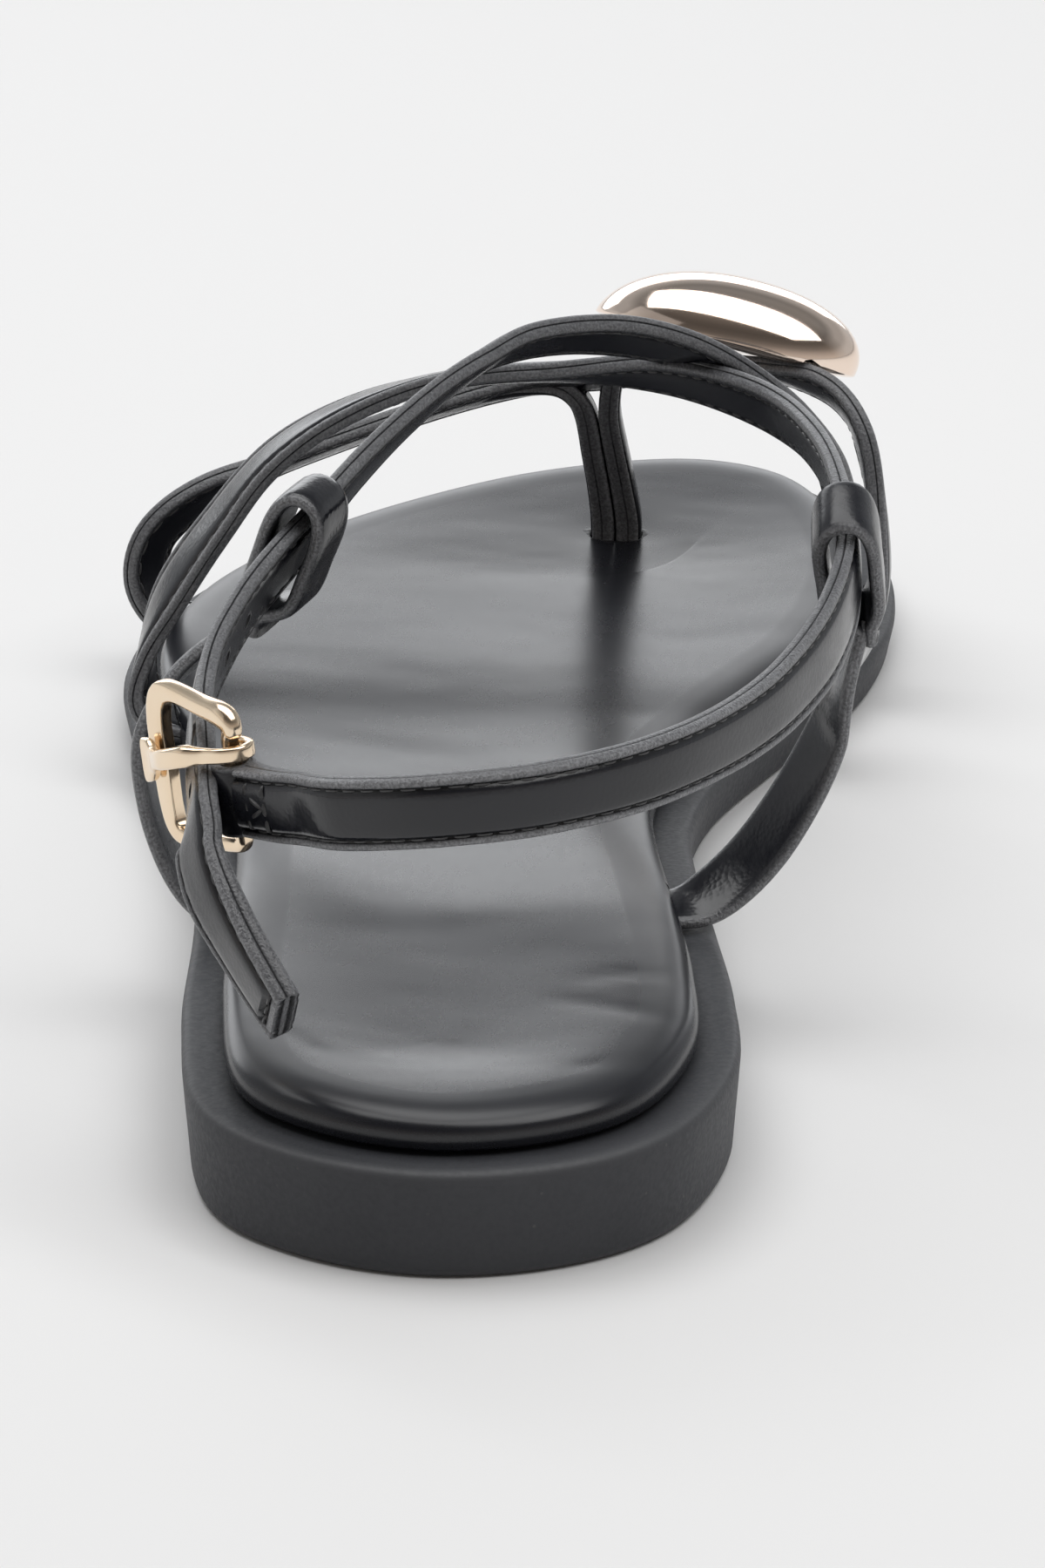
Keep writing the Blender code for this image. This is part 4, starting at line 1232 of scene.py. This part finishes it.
def build_tail_strap():
    piece = swept("tail_strap", TAIL_STRAP, STITCHED, STRAP_WIDTH, 0.8, ["upper"], 2.0,
                  blunt_end=True)
    stations = stations_along(TAIL_STRAP, 0.25)
    cutters = []
    sides = 16
    ring = superellipse(HOLE_RADIUS, HOLE_RADIUS, 1.0, sides, 0.0)
    for distance in HOLES_FROM_TAIL_END:
        hole = station_from_end(stations, distance)
        cutters.append(cutter([hole.place + hole.out * depth + hole.along * a + hole.across * b
                               for depth in (-2.0, 2.0) for a, b in ring], sides))
    cut(piece, cutters, 40.0)
    stitched_rows("tail_strap_stitches", TAIL_STRAP, STRAP_WIDTH, 1.4)
    stitches_across("tail_strap_end_stitches", station_from_end(stations, 1.6), 1.42, 2.3, 1.05,
                    0.22)


def build_toe_strap():
    swept("toe_strap_leather", TOE_STRAP, STITCHED, TOE_STRAP_WIDTH, 0.8, ["toe_strap"], 3.0)
    stitched_rows("toe_strap_stitches", TOE_STRAP, TOE_STRAP_WIDTH, STITCHES_START)
    build_post()


LEFT_BRANCH = [
    # x, y, z, nx, ny, nz, thickness
    (1.6, 216.4, 3.7, -1, 0, 0, 3.25),
    (1.6, 216.4, 9, -1, 0, 0, 3.25),
    (1.6, 216.3, 13.5, -1, 0, 0, 3.25),
    (1, 215.5, 19, -1, 0, -0.05, 3.1),
    (0.25, 214.4, 24, -1, 0, -0.1, 3),
    (-0.6, 213.2, 29.2, -0.97, -0.05, -0.2, 2.9),
    (-2.1, 212.2, 32.2, -0.8, -0.15, -0.6, 2.7),
    (-5, 211.2, 33.8, -0.35, -0.35, -0.85, 2.5),
    (-9.6, 209.4, 33.9, 0, -0.5, -0.86, 2.2),
    (-14.5, 207.4, 33.3, 0.15, -0.5, -0.85, 1.8),
]
RIGHT_BRANCH = [
    (4.95, 216.4, 3.7, 1, 0, 0, 3.3),
    (4.95, 216.4, 9, 1, 0, 0, 3.3),
    (4.95, 216.3, 13.5, 1, 0, 0, 3.3),
    (4.2, 215.5, 19, 1, 0, 0, 3.1),
    (3.4, 214.4, 24, 1, 0, 0, 3),
    (2.6, 213.2, 29.2, 1, 0, 0.1, 2.9),
    (2.7, 212.2, 32.6, 1, 0, 0.1, 2.8),
    (3.4, 211.2, 35.6, 0.9, 0, -0.3, 2.6),
]
POST_DEPTH = 4.4


def build_post():
    """Two doubled strap ends side by side, that part under the toe strap."""
    for name, rows, seed in (("toe_post_left_branch", LEFT_BRANCH, 5.0),
                             ("toe_post_right_branch", RIGHT_BRANCH, 6.0)):
        swept(name, rows, STITCHED, POST_DEPTH, 0.5, ["toe_strap"], seed)


def build_keeper(name, rows, held, loop, seed):
    route = looped(rows, held, loop)
    swept(name + "_leather", route, PLAIN, KEEPER_WIDTH, 0.7, [name], seed)
    # the end is sewn to the leg of the loop by one row of stitches
    stitches_across(name + "_stitches", Station(route, len(rows) + 1.0), 0.95, 2.4, 0.95, 0.18)


# ---- buckle and ornament
PLATE_START, PLATE_END = 10.0, 15.0  # the frame turns from a round bar to a flat plate


def build_buckle():
    count = len(BUCKLE_FRAME)
    looped_rows = BUCKLE_FRAME[-2:] + BUCKLE_FRAME + BUCKLE_FRAME[:3]
    vertices = []
    steps = 8
    sides = 24
    for i in range(count * steps):
        at = 2.0 + i / steps
        u, w, width, thickness = catmull(looped_rows, at)
        u0, w0 = catmull(looped_rows, at - 0.1)[:2]
        u1, w1 = catmull(looped_rows, at + 0.1)[:2]
        length = math.hypot(u1 - u0, w1 - w0)
        side_u = (w1 - w0) / length
        side_w = -(u1 - u0) / length
        plate = ease(u, PLATE_START, PLATE_END)
        for a, b in superellipse(width / 2.0, thickness / 2.0, 0.85 - 0.5 * plate, sides):
            vertices.append(buckle_point(u + side_u * a, w + side_w * a, b))
    make_piece("buckle_frame", vertices, tube_faces(count * steps, sides, True), BUCKLE_GOLD,
               ["buckle"], sharp=55.0)


def build_prong():
    vertices = []
    rings = 0
    sides = 20
    for position in spaced_positions(PRONG, 0.35):
        u, w, n, width, thickness = catmull(PRONG, position)
        before, after = beside(PRONG, position)
        along_u = after[0] - before[0]
        along_n = after[2] - before[2]
        length = math.hypot(along_u, along_n)
        side_u = -along_n / length
        side_n = along_u / length
        for a, b in superellipse(width / 2.0, thickness / 2.0, 0.5, sides):
            vertices.append(buckle_point(u + side_u * b, w + a, n + side_n * b))
        rings += 1
    make_piece("buckle_tongue", vertices, tube_faces(rings, sides), BUCKLE_GOLD,
               ["buckle_prong"], sharp=55.0)


def toe_strap_room():
    """The groove in the ornament's back that lies over the toe strap."""
    vertices = []
    for station in stations_along(TOE_STRAP, 0.8):
        if abs(station.position - ORNAMENT_ROW + 1.0) < 3.5:
            vertices += station.room(TOE_STRAP_WIDTH / 2.0 + 0.4, 1.6)
    return cutter(vertices, 6)


def build_ornament():
    place = Station(TOE_STRAP, ORNAMENT_ROW - 1.0).place
    out = Vector(ORNAMENT_TILT).normalized()
    long_axis = squared(Vector(ORNAMENT_LONG_AXIS), out)
    short_axis = out.cross(long_axis)
    place = place + long_axis * ORNAMENT_SHIFT
    half_long, half_short, height = ORNAMENT_SIZE
    around = 120
    rings = [(0.6, ORNAMENT_LIFT)]
    steps = 12
    for level in range(steps):
        angle = math.radians(-90.0 + 90.0 * level / steps)
        rings.append((0.72 + 0.28 * math.cos(angle),
                      ORNAMENT_LIFT + ORNAMENT_RIM * (1.0 + math.sin(angle))))
    steps = 34
    for level in range(steps + 1):
        angle = math.radians(89.5 * level / steps)
        rings.append((math.cos(angle) ** 0.92,
                      ORNAMENT_LIFT + ORNAMENT_RIM + height * math.sin(angle)))
    vertices = []
    two_lobes, three_lobes = ORNAMENT_LOBES
    for spread, lift in rings:
        lean = ORNAMENT_SKEW * max(0.0, (lift - ORNAMENT_LIFT - ORNAMENT_RIM) / height)
        for i in range(around):
            turn = math.tau * i / around
            lobed = (1.0 + two_lobes * math.cos(2.0 * turn + 0.6)
                     + three_lobes * math.cos(3.0 * turn))
            a = half_long * spread * lobed * math.cos(turn) + lean
            b = half_short * spread * lobed * math.sin(turn)
            vertices.append(place + long_axis * a + short_axis * b + out * lift)
    piece = make_piece("domed_ornament", vertices, tube_faces(len(rings), around),
                       ORNAMENT_GOLD, ["ornament"], sharp=60.0)
    cut(piece, [toe_strap_room()], 40.0)


# ---- stage, light and camera
FLOOR_HALF_SIDE = 4.0
FLOOR_DROP = 0.0002  # below the sole


def build_stage():
    made, tree, shader = new_material("studio_floor")
    soft = object_noise(tree, 3.0)
    tree.links.new(blended(tree, soft, (0.80, 0.80, 0.80), (0.82, 0.82, 0.82)),
                   shader.inputs["Base Color"])
    shader.inputs["Roughness"].default_value = 0.7
    shader.inputs["Specular IOR Level"].default_value = 0.2
    side = FLOOR_HALF_SIDE
    mesh = bpy.data.meshes.new("studio_floor")
    corners = [(-side, -side, 0.0), (side, -side, 0.0), (side, side, 0.0), (-side, side, 0.0)]
    mesh.from_pydata(corners, [], [(0, 1, 2, 3)])
    mesh.materials.append(made)
    floor = placed("studio_floor", mesh)
    floor.location.z = LOW.z - FLOOR_DROP


def area_light(name, place, target, size, power, tint):
    data = bpy.data.lights.new(name, "AREA")
    data.shape = "RECTANGLE"
    data.size, data.size_y = size
    data.energy = power
    data.color = tint
    light = placed(name, data)
    light.location = place
    aim = Vector(target) - Vector(place)
    light.rotation_euler = aim.to_track_quat("-Z", "Y").to_euler()
    light.visible_camera = False


SKY = [
    # height of the direction, brightness in front of the shoe, behind its heel
    (0, 0.95, 0.95),
    (0.22, 0.9, 0.6),
    (0.36, 0.66, 0.32),
    (0.52, 0.66, 0.18),
    (0.66, 0.34, 0.14),
    (0.76, 0.4, 0.16),
    (1, 0.3, 0.3),
]


LIGHTS = [
    # name, place, aimed at, size, power, tint
    ("overhead_softbox", (0.1, 0.06, 1.3), (0, -0.1, 0), (2.6, 1.1), 23, (1, 1, 1)),
    ("backdrop_glow", (-0.35, 1.7, 0.45), (0, 0.1, 0), (2.2, 0.7), 9, (0.965, 0.98, 1)),
    ("left_softbox", (-1.5, -0.3, 0.7), (0, 0.05, 0.02), (1.6, 1.4), 1.6, (1, 1, 1)),
]
FRONT_TINT = (0.955, 0.975, 1.0)
BEHIND_TINT = (1.0, 0.92, 0.86)
SKY_STRENGTH = 0.55


def build_light():
    for row in LIGHTS:
        area_light(*row)
    world = bpy.data.worlds.new("studio")
    bpy.context.scene.world = world
    world.use_nodes = True
    tree = world.node_tree
    split = node(tree, "SeparateXYZ", Vector=node(tree, "TexCoord").outputs["Generated"])
    ramps = []
    for column, tint in ((1, FRONT_TINT), (2, BEHIND_TINT)):
        ramp = node(tree, "ValToRGB", Fac=split.outputs["Z"])
        while len(ramp.color_ramp.elements) < len(SKY):
            ramp.color_ramp.elements.new(0.5)
        for element, row in zip(ramp.color_ramp.elements, SKY):
            element.position = row[0]
            element.color = (*[row[column] * channel for channel in tint], 1.0)
        ramps.append(ramp.outputs["Color"])
    forwards = mapped(tree, split.outputs["Y"], -0.25, 0.35)
    background = tree.nodes["Background"]
    tree.links.new(blended(tree, forwards, ramps[1], ramps[0]), background.inputs["Color"])
    background.inputs["Strength"].default_value = SKY_STRENGTH


CAMERA_PLACE = (0.083, -0.8042, 0.3687)
CAMERA_TURN = (68.3, 0.0, 5.35)
CAMERA_LENS = 265.0


def build_camera():
    data = bpy.data.cameras.new("camera")
    data.lens = CAMERA_LENS
    data.sensor_width = 36.0
    data.sensor_fit = "HORIZONTAL"
    data.clip_start = 0.01
    camera = placed("camera", data)
    camera.location = CAMERA_PLACE
    camera.rotation_euler = [math.radians(v) for v in CAMERA_TURN]
    bpy.context.scene.camera = camera


# ---- assembly
build_outsole()
build_footbed()
build_ankle_strap()
build_tail_strap()
build_toe_strap()
build_keeper("lateral_keeper", LATERAL_KEEPER, TAIL_STRAP, LATERAL_LOOP, 7.0)
build_keeper("medial_keeper", MEDIAL_KEEPER, ANKLE_STRAP, MEDIAL_LOOP, 8.0)
build_buckle()
build_prong()
build_ornament()
build_stage()
build_light()
build_camera()
bpy.context.scene.view_settings.view_transform = "Standard"
bpy.context.scene.view_settings.look = "None"
